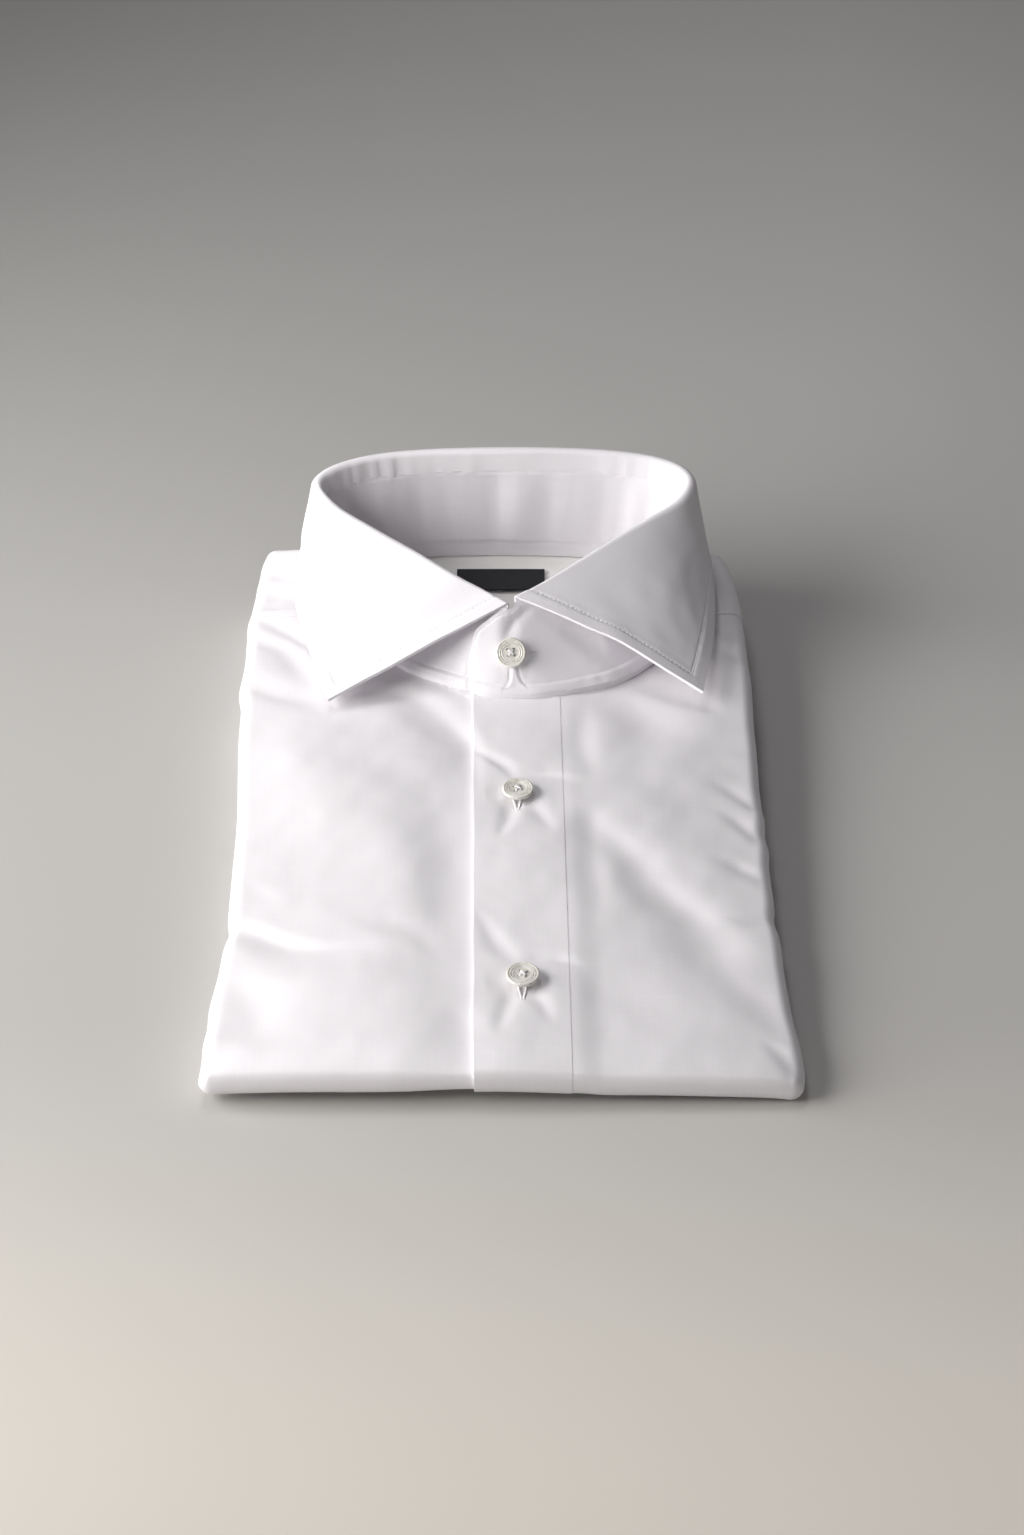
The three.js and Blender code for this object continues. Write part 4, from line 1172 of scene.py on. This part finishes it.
# the seam allowance inside the edge pads the border between it and the stitches
border = BORDER * smooth((STITCH_IN - rim) / 1.6) * ~on_strip[None, :]
leaf_lines = leaf_lines + leaf_normals * border[..., None]
leaf_cloth = make_piece("collar_leaf_cloth", cloth_of_lines(leaf_lines), collar_cotton,
                        LEAF_THICKNESS, 0.0, seams=stitch_away.ravel(), round_rim=0.5)

# %% [markdown]
# ## Band
# The band stands round the neck. In front its rounded tab closes over its other end with the collar
# button. It is sewn to the fronts and the yoke at its foot, with the seam allowance tucked inside, so
# its foot is padded, except where the top of the placket runs up into it. It is one sheet of upright
# lines from the tip of the tab round the back to the end underneath, which a lofted surface between
# two curves would also give, but here each line's height is at hand for the seams.

# %% The band's lines
BAND_ROWS = 54
TAB_SECTION = 5  # the tab's first rows of the table
FRONT_SECTION = 7  # and all that shows in front
TIP_STITCH = 1.1  # from the tab's edge to its stitches
FOOT_STITCH = 3.9  # from the foot line up to its stitches
head_around = inside + stand * (leaf_strip - 0.9)
tab_feet = foot_points([foot for foot, _ in BAND_TAB])
under_feet = foot_points([foot for foot, _ in BAND_UNDER])
key_feet = np.vstack([tab_feet, feet[::PER_ROW], under_feet])
key_heads = np.vstack([[head for _, head in BAND_TAB], head_around[::PER_ROW],
                       [head for _, head in BAND_UNDER]])
band_feet = curve_through(key_feet, PER_ROW)
band_heads = curve_through(key_heads, PER_ROW)
rise = np.linspace(0, 1, BAND_ROWS)
band_lines = (band_feet[:, None] * (1 - rise)[None, :, None]
              + band_heads[:, None] * rise[None, :, None])
low_feet = band_feet - np.array([0, 0, BAND_UPRIGHT + BAND_SINK])
band_lines = np.concatenate([low_feet[:, None], band_lines], axis=1)
band_along = np.concatenate([[0], np.cumsum(np.linalg.norm(np.diff(band_feet, axis=0), axis=1))])
band_up = np.concatenate([[-(BAND_UPRIGHT + BAND_SINK)], rise])
tall = np.linalg.norm(band_heads - band_feet, axis=1)
band_high = np.where(band_up[None, :] < 0, band_up[None, :], band_up[None, :] * tall[:, None])
tangent = np.gradient(band_feet, axis=0)
band_out = unit(np.cross(tangent, band_heads - band_feet))
print("the band is", round(band_along[-1]), "mm long and", round(tall.max()), "mm high at the back")

# %% The band's waves, padded foot and tongue
# upright waves inside the back
level = 0 * band_along
waves = 0.9 * ripple(band_along, level, 34, 41) + 0.5 * ripple(band_along, level, 13, 43)
wave_rows = np.sin(np.pi * np.clip(band_up, 0, 1)) ** 0.7
front_calm = smooth((band_along - 60) / 50) * smooth((band_along[-1] - 45 - band_along) / 50)
relief_rows = waves[:, None] * front_calm[:, None] * wave_rows[None, :]
# the seam allowance pads the foot, except at the tongue of the placket, which narrows upward
# like the foot of a wine glass
tongue_left = np.interp(band_high, [2.5, 4, 5.8, 10, 12], [0.75, 2.3, 3.2, 3.4, 3.4])
tongue_right = np.interp(band_high, [2.5, 4, 5.2, 7.5, 10.5], [11.2, 9.3, 8.1, 6.9, 6.3])
band_x = band_lines[..., 0]
outer_part = (np.arange(len(band_lines)) < FRONT_SECTION * PER_ROW)[:, None]
tongue = smooth((band_x - tongue_left) / 0.9 + 0.5) * smooth((tongue_right - band_x) / 0.9 + 0.5)
tongue = tongue * (band_high > 0) * (band_high < 13) * outer_part
pad = smooth(1 - (band_high - 3.5) / 0.9) * (band_high > -1)
relief_rows = relief_rows + np.maximum(0.5 * pad, 0.3 * tongue)
# short puckers along the foot, right of the tongue
foot_puckers = ripple(band_along, level, 6, 47) * smooth((band_along - 40) / 12)
relief_rows = relief_rows + 0.16 * foot_puckers[:, None] * smooth(1 - np.abs(band_high - 2) / 2.5)
# soft folds in the front of the band, seen from outside: line (x, height), half width, rise
for line, width, height in (([(14, 38), (7, 33), (2.5, 26), (1, 19)], 2.2, -0.6),
                            ([(8, 37), (0, 31), (-4, 24)], 3.0, 0.3),
                            ([(24, 28), (35, 19), (44, 12)], 4.5, -0.6)):
    away, along, _ = distance_to_line(band_x, band_high, curve_through(line, 5))
    section = np.sin(np.pi * along) * np.exp(-(away / width) ** 2)
    relief_rows = relief_rows + outer_part * height * section
band_lines += band_out[:, None] * relief_rows[:, :, None]

# %% The band's seams and mesh
tip_line = np.vstack([band_lines[0], band_lines[:TAB_SECTION * PER_ROW, -1]])
tip_away = distance_to_row(band_lines, tip_line)
foot_seam = np.where(tongue > 0.5, NO_SEAM, np.abs(band_high - FOOT_STITCH))
tongue_seam = np.minimum(np.abs(band_x - tongue_left), np.abs(band_x - tongue_right))
tongue_seam = np.where((band_high > 2.5) & (band_high < 13) & outer_part, tongue_seam, NO_SEAM)
band_seam = np.minimum(foot_seam, np.abs(tall[:, None] - 0.9 - band_high))
band_seam = np.minimum(np.minimum(band_seam, tongue_seam), np.abs(tip_away - TIP_STITCH))
band_cloth = make_piece("collar_band_cloth", cloth_of_lines(band_lines), collar_cotton,
                        BAND_THICKNESS, 0.0, seams=band_seam.ravel(), round_rim=0.5)

# %% [markdown]
# ## Inner yoke
# Inside the collar shows the lining side of the yoke, a slightly creamier cotton that sinks a few
# millimetres inside the neck. It is made of rings from the middle out to the line of the neck, where
# its rim is tucked into the band, so that no gap shows all the way round.

# %% Inner yoke
NECK_MIDDLE = np.array([0.0, 106.0])
INNER_RINGS = 26
INNER_THICKNESS = 0.6
FRONT_DEPTH = 5.2  # below the plane of the top cloth, in front
BACK_DEPTH = 3.4  # and at the back
RIM_DEPTH = 1.6  # and where it meets the band
RIM_SHARE = 0.16  # of the way out, over which it comes up to the band


def inner_yoke_depth(reach, y):
    middle = mix(FRONT_DEPTH, BACK_DEPTH, smooth((y - 70) / 60))
    return mix(middle, RIM_DEPTH, smooth((reach - (1 - RIM_SHARE)) / RIM_SHARE))


def inner_yoke():
    cloth = Cloth()
    rim_line = moved_out(neck_line, -0.45)
    rim_line[:, 1] += 3.4 * smooth((72 - rim_line[:, 1]) / 12)
    count = len(rim_line)
    sunk = flat_top(NECK_MIDDLE[1]) - inner_yoke_depth(0, NECK_MIDDLE[1])
    centre_point = np.array([[*NECK_MIDDLE, sunk]])
    last = np.repeat(cloth.add(centre_point, NECK_MIDDLE[None, :]), count)
    for k in range(1, INNER_RINGS + 1):
        reach = k / INNER_RINGS
        ground = mix(NECK_MIDDLE, rim_line, reach)
        x, y = ground.T
        z = flat_top(y) - inner_yoke_depth(reach, y) + 0.22 * ripple(x, y, 30, 51) * (1 - reach ** 4)
        after = cloth.add(np.column_stack([ground, z]), ground)
        cloth.join(last, after, True)
        last = after
    return make_piece("inner_yoke_cloth", cloth, yoke_cotton, INNER_THICKNESS)


inner_yoke_cloth = inner_yoke()

# %% [markdown]
# ## Label
# The label is woven in fine dark threads and sewn on at both ends, so it bows up a little between
# them. It is plain. A small grid of its own lies just above the inner yoke, with a wall and a
# rounded rim like the other pieces.

# %% Label
LABEL = {"left": -19.6, "right": 18.0, "front": 131.0, "back": 145.5, "gap": 0.75, "wall": 0.6}


def woven_label():
    """Damask label: a dark satin weave that looks almost black, with a fine twill line."""
    material, tree, output = new_material("damask_label")
    flat = put(tree, "ShaderNodeUVMap", uv_map="flat").outputs["UV"]
    # a line every 2.4 mm
    lines = put(tree, "ShaderNodeTexWave", {
        "Vector": flat, "Scale": 260.0, "Distortion": 0.6, "Detail": 1.0},
        bands_direction="DIAGONAL")
    shade = put(tree, "ShaderNodeMix", {
        "Factor": lines.outputs["Fac"], "A": colour("#0a0b10"), "B": colour("#14161e")},
        data_type="RGBA")
    bump = put(tree, "ShaderNodeBump", {
        "Height": lines.outputs["Fac"], "Distance": 0.00006, "Strength": 0.6})
    shader = put(tree, "ShaderNodeBsdfPrincipled", {
        "Base Color": shade.outputs["Result"], "Roughness": 0.5, "Sheen Weight": 0.1,
        "Sheen Roughness": 0.4, "Specular IOR Level": 0.25, "Normal": bump.outputs["Normal"]})
    tree.links.new(shader.outputs["BSDF"], output.inputs["Surface"])
    return material


def neck_label():
    cloth = Cloth()

    def place(u, v):
        x = mix(LABEL["left"], LABEL["right"], u)
        y = mix(LABEL["front"], LABEL["back"], v) - 0.9 * np.sin(math.pi * u) * (1 - 0.3 * v)
        bow = 0.5 * np.sin(math.pi * u)
        return x, y, flat_top(y) - inner_yoke_depth(0, y) + LABEL["gap"] + bow

    cloth.grid(place, 44, 18)
    return make_piece("neck_label_cloth", cloth, woven_label(), LABEL["wall"], 1.0, round_rim=0.2)


label_cloth = neck_label()

# %% [markdown]
# ## Buttons
# The buttons are cut from shell: thick discs with a raised rim, turned rings and four holes.
# The disc is a profile that is spun round, and the holes are cut with a boolean, which keeps their
# edges true. Shell is ivory and glossy, with cloudy bands under a clear polish, which a coat over
# a noise pattern gives. Spun thread is duller, and its two plies show as fine slanting lines.


# %% Shell and thread
def mother_of_pearl():
    """Mother-of-pearl: ivory, glossy, with faint cloudy bands of warm and cool nacre."""
    material, tree, output = new_material("mother_of_pearl")
    place = put(tree, "ShaderNodeTexCoord").outputs["Object"]
    # bands of about 2.4 mm
    bands = put(tree, "ShaderNodeTexNoise", {
        "Vector": place, "Scale": 420.0, "Detail": 3.0, "Distortion": 1.5})
    ramp = put(tree, "ShaderNodeValToRGB", {"Fac": bands.outputs["Fac"]})
    steps = ramp.color_ramp.elements
    steps[0].position = 0.3
    steps[1].position = 0.7
    steps.new(0.5)
    for step, shade in zip(steps, ("#cdc8bd", "#e2dfd8", "#f3f0e9")):
        step.color = colour(shade)
    shader = put(tree, "ShaderNodeBsdfPrincipled", {
        "Base Color": ramp.outputs["Color"], "Roughness": 0.28, "IOR": 1.55,
        "Coat Weight": 0.5, "Coat Roughness": 0.12})
    tree.links.new(shader.outputs["BSDF"], output.inputs["Surface"])
    return material


def sewing_thread():
    """Spun white thread: two plies twist round each other and leave a fine slanting line."""
    material, tree, output = new_material("spun_thread")
    place = put(tree, "ShaderNodeTexCoord").outputs["Object"]
    plies = put(tree, "ShaderNodeTexWave", {
        "Vector": place, "Scale": 900.0, "Distortion": 1.0}, bands_direction="DIAGONAL")
    shade = put(tree, "ShaderNodeMix", {
        "Factor": plies.outputs["Fac"], "A": colour("#e9e8ea"), "B": colour("#fbfafb")},
        data_type="RGBA")
    shader = put(tree, "ShaderNodeBsdfPrincipled", {
        "Base Color": shade.outputs["Result"], "Roughness": 0.45, "Sheen Weight": 0.2})
    tree.links.new(shader.outputs["BSDF"], output.inputs["Surface"])
    return material


shell = mother_of_pearl()
thread = sewing_thread()
print("materials:", shell.name, "and", thread.name)

# %% One button
# radius of a hole, distance between two holes, and how far the button stands off the cloth
BUTTON = {"hole": 0.66, "pitch": 2.5, "stand": 0.6}
# radius and height along the section, from the middle of the underside round to the middle on top
BUTTON_PROFILE = [
    (0, 0), (3.0, 0.05), (4.7, 0.3), (5.7, 0.85), (6.1, 1.4), (6.2, 1.8), (6.12, 2.15), (5.9, 2.4),
    (5.6, 2.5), (5.3, 2.48), (5.12, 2.34), (4.95, 2.32), (4.8, 2.41), (4.55, 2.45), (4.35, 2.4),
    (4.2, 2.26), (4.05, 2.24), (3.9, 2.34), (3.7, 2.37), (3.5, 2.3), (3.3, 2.2), (3.0, 2.17),
    (2.4, 2.15), (1.6, 2.15), (0.8, 2.14), (0, 2.14)]
BUTTON_SIDES = 56
DRILL_SIDES = 20


def ring_mesh(name, profile, sides):
    """A closed mesh from a profile spun round the z axis, in metres."""
    shape = bmesh.new()
    rings = []
    for radius, height in profile:
        if radius == 0:
            rings.append([shape.verts.new((0, 0, height / 1000))] * sides)
            continue
        rings.append([shape.verts.new((radius / 1000 * math.cos(2 * math.pi * k / sides),
                                       radius / 1000 * math.sin(2 * math.pi * k / sides),
                                       height / 1000)) for k in range(sides)])
    for low, high in zip(rings[:-1], rings[1:]):
        for k in range(sides):
            j = (k + 1) % sides
            corners = list(dict.fromkeys([low[k], low[j], high[j], high[k]]))
            shape.faces.new(corners)
    bmesh.ops.recalc_face_normals(shape, faces=shape.faces)
    mesh = bpy.data.meshes.new(name)
    shape.to_mesh(mesh)
    shape.free()
    return mesh


def plain_mesh(source, name):
    """The evaluated object as a new mesh object, and the source removed."""
    evaluated = source.evaluated_get(bpy.context.evaluated_depsgraph_get())
    mesh = bpy.data.meshes.new_from_object(evaluated)
    mesh.name = name
    bpy.data.objects.remove(source, do_unlink=True)
    made = bpy.data.objects.new(name, mesh)
    bpy.context.collection.objects.link(made)
    return made


def drilled_disc():
    disc = bpy.data.objects.new("disc", ring_mesh("disc", BUTTON_PROFILE, BUTTON_SIDES))
    bpy.context.collection.objects.link(disc)
    drills = []
    for sx in (-1, 1):
        for sy in (-1, 1):
            drill = bpy.data.objects.new("drill", ring_mesh(
                "drill", [(0, -2), (BUTTON["hole"], -2), (BUTTON["hole"], 6), (0, 6)], DRILL_SIDES))
            drill.data.transform(Matrix.Translation(
                (sx * BUTTON["pitch"] / 2000, sy * BUTTON["pitch"] / 2000, 0)))
            bpy.context.collection.objects.link(drill)
            cut = disc.modifiers.new("hole", "BOOLEAN")
            cut.operation = "DIFFERENCE"
            cut.solver = "EXACT"
            cut.object = drill
            drills.append(drill)
    made = plain_mesh(disc, "disc")
    for drill in drills:
        bpy.data.objects.remove(drill, do_unlink=True)
    return made


disc = drilled_disc()
print("button:", len(disc.data.polygons), "faces")

# %% [markdown]
# ## Where the buttons sit
# The collar button comes out through the tab of the band and faces as the band does there, and the
# two others lie on the placket. Each has its own small turn, as buttons that are sewn on one by one
# have. The disc is copied, turned and moved inside its mesh, so each object stays at the origin.


# %% Seats
def tab_seat():
    """Where the collar button sits, and the way it faces."""
    foot = foot_points([BAND_TAB[-1][0]])[0]
    head = np.array(BAND_TAB[-1][1], float)
    along = unit(head - foot)
    facing = unit(np.cross([1, 0, 0], along))
    seat = mix(foot, head, 0.47)
    seat[0] = 3.6
    return seat + facing, facing


def top_seat(x, y):
    return np.array([x, y, flat_top(y)]), unit(np.array([0, -TOP_SLOPE, 1.0]))


def placed(mesh, seat, facing, turn):
    """Turns a mesh about its own axis, faces it, and moves it to its seat, all in the mesh."""
    face = Vector((0, 0, 1)).rotation_difference(Vector(facing)).to_matrix().to_4x4()
    mesh.transform(Matrix.Translation(metres(seat)) @ face @ Matrix.Rotation(turn, 4, "Z"))


# %% Three buttons
# each button's seat, the way it faces, and its turn in radians
SEATS = {"collar_button": (*tab_seat(), 0.1), "button_2": (*top_seat(6.35, -4.8), 0.25),
         "button_3": (*top_seat(8, -108.4), -0.2)}
SHARP = math.radians(38)  # edges that turn more than this stay crisp
buttons = {}
for name, (seat, facing, turn) in SEATS.items():
    mesh = disc.data.copy()
    placed(mesh, seat + facing * BUTTON["stand"], facing, turn)
    mesh.materials.clear()
    mesh.materials.append(shell)
    piece = bpy.data.objects.new(name + "_shell", mesh)
    bpy.context.collection.objects.link(piece)
    mesh.polygons.foreach_set("use_smooth", [True] * len(mesh.polygons))
    mesh.set_sharp_from_angle(angle=SHARP)
    buttons[name] = piece
    print(name, len(mesh.polygons), "faces")
bpy.data.objects.remove(disc, do_unlink=True)

# %% [markdown]
# ## Stitches
# A row of machine stitches is one short bead of thread after another along a line. Geometry Nodes
# places them: the line is walked in even steps, a bead is put at each, turned along the line, and
# all of them are made real. The same tree sews every seam, with its own pitch and thickness. A
# second tree spins one round strand along a line, for the thread that holds the buttons.


# %% Trees that turn a line into thread
def thread_tree(name, sizes, shape):
    """A tree with named sizes. shape(tree, given) makes the thread along the lines it is given."""
    tree = bpy.data.node_groups.new(name, "GeometryNodeTree")
    tree.interface.new_socket("Geometry", in_out="INPUT", socket_type="NodeSocketGeometry")
    sockets = {size: tree.interface.new_socket(size, in_out="INPUT", socket_type="NodeSocketFloat")
               for size in sizes}
    tree.interface.new_socket("Geometry", in_out="OUTPUT", socket_type="NodeSocketGeometry")
    made = shape(tree, put(tree, "NodeGroupInput"))
    real = put(tree, "GeometryNodeRealizeInstances", {"Geometry": made})
    coated = put(tree, "GeometryNodeSetMaterial", {
        "Geometry": real.outputs["Geometry"], "Material": thread})
    put(tree, "NodeGroupOutput", {"Geometry": coated.outputs["Geometry"]})
    return tree, sockets


def beads(tree, given):
    """Short beads of thread in even steps, each turned along the line and a little uneven."""
    walk = put(tree, "GeometryNodeCurveToPoints", {
        "Curve": given.outputs["Geometry"], "Length": given.outputs["Pitch"]}, mode="LENGTH")
    turn = put(tree, "FunctionNodeAlignRotationToVector", {
        "Vector": walk.outputs["Tangent"]}, axis="X")
    bead = put(tree, "GeometryNodeMeshUVSphere", {"Segments": 6, "Rings": 4, "Radius": 0.5})
    smoothed = put(tree, "GeometryNodeSetShadeSmooth", {"Geometry": bead.outputs["Mesh"]})
    uneven = put(tree, "FunctionNodeRandomValue", {2: 0.88, 3: 1.1, "Seed": 7}, data_type="FLOAT")
    long = put(tree, "ShaderNodeMath", {
        0: given.outputs["Length"], 1: uneven.outputs[1]}, operation="MULTIPLY").outputs[0]
    size = put(tree, "ShaderNodeCombineXYZ", {
        "X": long, "Y": given.outputs["Width"], "Z": given.outputs["Thickness"]})
    return put(tree, "GeometryNodeInstanceOnPoints", {
        "Points": walk.outputs["Points"], "Instance": smoothed.outputs["Geometry"],
        "Rotation": turn.outputs["Rotation"], "Scale": size.outputs["Vector"]}).outputs["Instances"]


def strand(tree, given):
    """One round strand all along the line."""
    section = put(tree, "GeometryNodeCurvePrimitiveCircle", {
        "Resolution": 8, "Radius": given.outputs["Radius"]}, mode="RADIUS")
    return put(tree, "GeometryNodeCurveToMesh", {
        "Curve": given.outputs["Geometry"], "Profile Curve": section.outputs["Curve"],
        "Fill Caps": True}).outputs["Mesh"]


row_of_stitches = thread_tree("row_of_stitches", ("Pitch", "Length", "Width", "Thickness"), beads)
thread_along = thread_tree("thread_along_a_line", ("Radius",), strand)
print("thread trees:", len(row_of_stitches[0].nodes), "and", len(thread_along[0].nodes), "nodes")


# %% Thread along lines
def along_lines(name, lines, kind, values):
    """Thread along lines of points in shirt millimetres, as one plain mesh piece."""
    tree, sockets = kind
    data = bpy.data.curves.new(name, "CURVE")
    data.dimensions = "3D"
    for line in lines:
        spline = data.splines.new("POLY")
        spline.points.add(len(line) - 1)
        spline.points.foreach_set("co", np.column_stack(
            [metres(line), np.ones(len(line))]).ravel())
    path = bpy.data.objects.new(name, data)
    bpy.context.collection.objects.link(path)
    sewing = path.modifiers.new("thread", "NODES")
    sewing.node_group = tree
    for key, value in values.items():
        sewing[sockets[key].identifier] = value / 1000
    made = plain_mesh(path, name)
    print(name, len(made.data.polygons), "faces")
    return made


def sew(name, lines, pitch, length, thickness, width=None):
    """A row of stitches along each line. Width is across the row, and thickness off the cloth."""
    return along_lines(name, lines, row_of_stitches, {
        "Pitch": pitch, "Length": length, "Width": width or thickness, "Thickness": thickness})


# %% [markdown]
# ## Topstitching of the leaf
# A row of stitches runs round the leaf, six millimetres inside its edge. Its line is found on the
# finished sheet: every point where the distance from the edge passes six. Three parts make it up,
# along the outer edge and down both fronts, and each stops where it meets the next.


# %% Lines on a sheet
def level_line(values, level, lines, normals, lift, along_rows):
    """Points where values cross a level, one on each line (or each row) of the sheet."""
    found = []
    first = values if along_rows else values.T
    spots = lines if along_rows else lines.transpose(1, 0, 2)
    ways = normals if along_rows else normals.transpose(1, 0, 2)
    for row, spot, way in zip(first, spots, ways):
        over = np.nonzero((row[:-1] < level) & (row[1:] >= level))[0]
        if len(over):
            n = over[0]
            t = (level - row[n]) / (row[n + 1] - row[n])
            found.append(mix(spot[n], spot[n + 1], t) + lift * mix(way[n], way[n + 1], t))
    return np.array(found)


# %% Stitches of the leaf
THREAD_LIFT = 0.02  # the middle of a stitch above the face of the cloth
LEAF_LIFT = LEAF_THICKNESS / 2 + THREAD_LIFT
NEAR_FRONT = 60  # sections at each end of the collar that a front row can reach
fall_part = slice(0, FALL_ROWS + 2)
# along the outer edge, from point to point
outer = level_line(from_outer_edge[:, fall_part], STITCH_IN, leaf_lines[:, fall_part],
                   leaf_normals[:, fall_part], LEAF_LIFT, True)
keep = [min(distance_to_row(p[None], leaf_lines[0, :FALL_ROWS])[0],
            distance_to_row(p[None], leaf_lines[-1, :FALL_ROWS])[0]) > STITCH_IN for p in outer]
outer = outer[keep]
# down both front edges
fronts = []
for values, order in ((from_right_front, 1), (from_left_front, -1)):
    parts = [sheet[::order][:NEAR_FRONT, fall_part] for sheet in (values, leaf_lines, leaf_normals)]
    near = level_line(parts[0], STITCH_IN, parts[1], parts[2], LEAF_LIFT, False)
    keep = [distance_to_row(p[None], leaf_lines[::3, 0])[0] > STITCH_IN for p in near]
    fronts.append(near[keep])
leaf_stitches = sew("collar_leaf_stitches", [fronts[0][::-1], outer, fronts[1][::-1]],
                    pitch=1.9, length=1.15, thickness=0.42)

# %% [markdown]
# ## Stitches of the tab
# The tab of the band has a row of finer stitches close to its edge, all round the rounded end, and
# one along its foot. The first is found by its distance from the edge, walked from both directions
# because the end is so round, and the second by its height above the foot.

# %% Stitches on the tab of the band
band_normals = surface_normals(band_lines)
tab_end = TAB_SECTION * PER_ROW
if np.mean(np.sum(band_normals[tab_end, 5:] * band_out[tab_end], axis=1)) < 0:
    band_normals = -band_normals
BAND_LIFT = BAND_THICKNESS / 2 + THREAD_LIFT
tab = [sheet[:tab_end + 1, 2:] for sheet in (tip_away, band_lines, band_normals)]
away, spots, ways = (sheet[:3 * PER_ROW] for sheet in tab)
up_the_end = level_line(away, TIP_STITCH, spots, ways, BAND_LIFT, False)
away, spots, ways = (sheet[:, ::-1] for sheet in tab)
below_the_top = level_line(away, TIP_STITCH, spots, ways, BAND_LIFT, True)
found = np.vstack([up_the_end, below_the_top])
order = [int(np.argmin(np.linalg.norm(tip_line - spot, axis=1))) for spot in found]
tab_edge = np.array([found[np.array(order) == n].mean(axis=0) for n in sorted(set(order))])
foot_columns = [n for n in range(2, tab_end) if -11.4 < band_x[n, 8] < 1.0]


def on_band(n, high):
    """The point on the outside of the band at one of its lines and a height above its foot."""
    surface = band_lines[n] + BAND_LIFT * band_normals[n]
    return np.array([np.interp(high, band_high[n], surface[:, k]) for k in range(3)])


foot_edge = np.array([on_band(n, FOOT_STITCH) for n in foot_columns])
tab_stitches = sew("band_tab_stitches", [tab_edge, foot_edge],
                   pitch=1.15, length=0.7, thickness=0.26)

# %% [markdown]
# ## Buttonholes
# A machine sews a buttonhole with a dense row of narrow satin stitches along each lip, and a bar
# across its end. On the band it lies level, and its end shows beside the collar button. On the
# placket it lies along the strip, and the two lips close to a point in front of the button. The same
# tree makes them, with wide stitches so close together that they touch.

# %% Buttonhole of the band
BAND_HOLE_HIGH = 17.8
BAND_HOLE_ENDS = (8.5, 14.4)
HOLE_LIP = 0.6  # from the slit to the middle of a lip

hole_columns = [n for n in range(3 * PER_ROW, FRONT_SECTION * PER_ROW)
                if BAND_HOLE_ENDS[0] < on_band(n, BAND_HOLE_HIGH)[0] < BAND_HOLE_ENDS[1]]
collar_buttonhole = sew("collar_buttonhole", [
    np.array([on_band(n, BAND_HOLE_HIGH + side) for n in hole_columns])
    for side in (-HOLE_LIP, HOLE_LIP)], pitch=0.34, length=0.4, thickness=0.36, width=0.9)


# %% Buttonholes of the placket
def on_placket(points):
    points = np.asarray(points, float)
    x, y = points.T
    return np.column_stack([x, y, top_height(x, y) + PLACKET_LIFT])


lips = []
for hole_x, hole_y in BUTTONHOLE_ENDS:
    for side in (-1, 1):
        lips.append(on_placket([(hole_x + side * mix(0.35, 1.5, t), hole_y + 6.5 * t)
                                for t in np.linspace(0, 1, 9)]))
    lips.append(on_placket([(hole_x - 0.7, hole_y - 0.2), (hole_x + 0.7, hole_y - 0.2)]))
placket_buttonholes = sew("placket_buttonholes", lips,
                          pitch=0.34, length=0.4, thickness=0.42, width=1.15)

# %% [markdown]
# ## Thread that holds the buttons
# Two strands cross between the holes each way, and the thread is wound round itself below the button
# into a short shank, which leaves room for the cloth. The strands bow over the middle of the button.
# They are short lines worked out in the button's own place and then turned with it.


# %% Thread that holds each button
def held(seat, facing, turn):
    """Four crossing strands over the middle of a button, and its wrapped shank, in its own place."""
    face = Vector((0, 0, 1)).rotation_difference(Vector(facing)).to_matrix()
    frame_of = np.array(face @ Matrix.Rotation(turn, 3, "Z"))
    middle = seat + facing * BUTTON["stand"]
    lines = []
    p = BUTTON["pitch"] / 2
    for number, sign in enumerate((1, -1)):
        across = np.array([1, -sign]) / 2 ** 0.5
        for offset in (-0.2, 0.2):
            t = np.linspace(-1, 1, 15)
            ground = np.outer(t, [p, sign * p]) * 1.02 + offset * across
            high = 1.5 + (1.0 + 0.25 * number) * (1 - np.abs(t) ** 5)
            lines.append(np.column_stack([ground, high]))
    turns = np.linspace(0, 5 * 2 * math.pi, 90)
    lines.append(np.column_stack([1.1 * np.cos(turns), 1.1 * np.sin(turns),
                                  np.linspace(-0.85, 0.25, 90)]))
    return [line @ frame_of.T + middle for line in lines]


button_threads = [along_lines(name + "_thread", held(*seat), thread_along, {"Radius": 0.2})
                  for name, seat in SEATS.items()]

# %% [markdown]
# ## Attaching the pieces
# Each piece rides on the shirt's one body. Pieces that stand for a solid of the imported model
# replace it.


# %% Attach and replace
def belongs(piece, slot, *nodes):
    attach(piece, "root")
    if nodes:
        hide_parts(*nodes)


belongs(right_front_cloth, "cotton", "right_front")
belongs(left_front_cloth, "cotton", "left_front")
belongs(placket_cloth, "cotton", "front_placket")
belongs(yoke_cloth, "cotton", "yoke")
belongs(inner_yoke_cloth, "cotton", "inner_yoke")
belongs(band_cloth, "cotton", "collar_band")
belongs(leaf_cloth, "cotton", "collar_leaf")
belongs(label_cloth, "label", "neck_label")
for piece in (leaf_stitches, tab_stitches, collar_buttonhole, placket_buttonholes, *button_threads):
    belongs(piece, "cotton")
for piece in layer_pieces:
    belongs(piece, "cotton", "folded_layers")
for name, piece in buttons.items():
    belongs(piece, "shell", name)
print("buttons:", len(buttons), "threads:", len(button_threads), "layers:", len(layer_pieces))
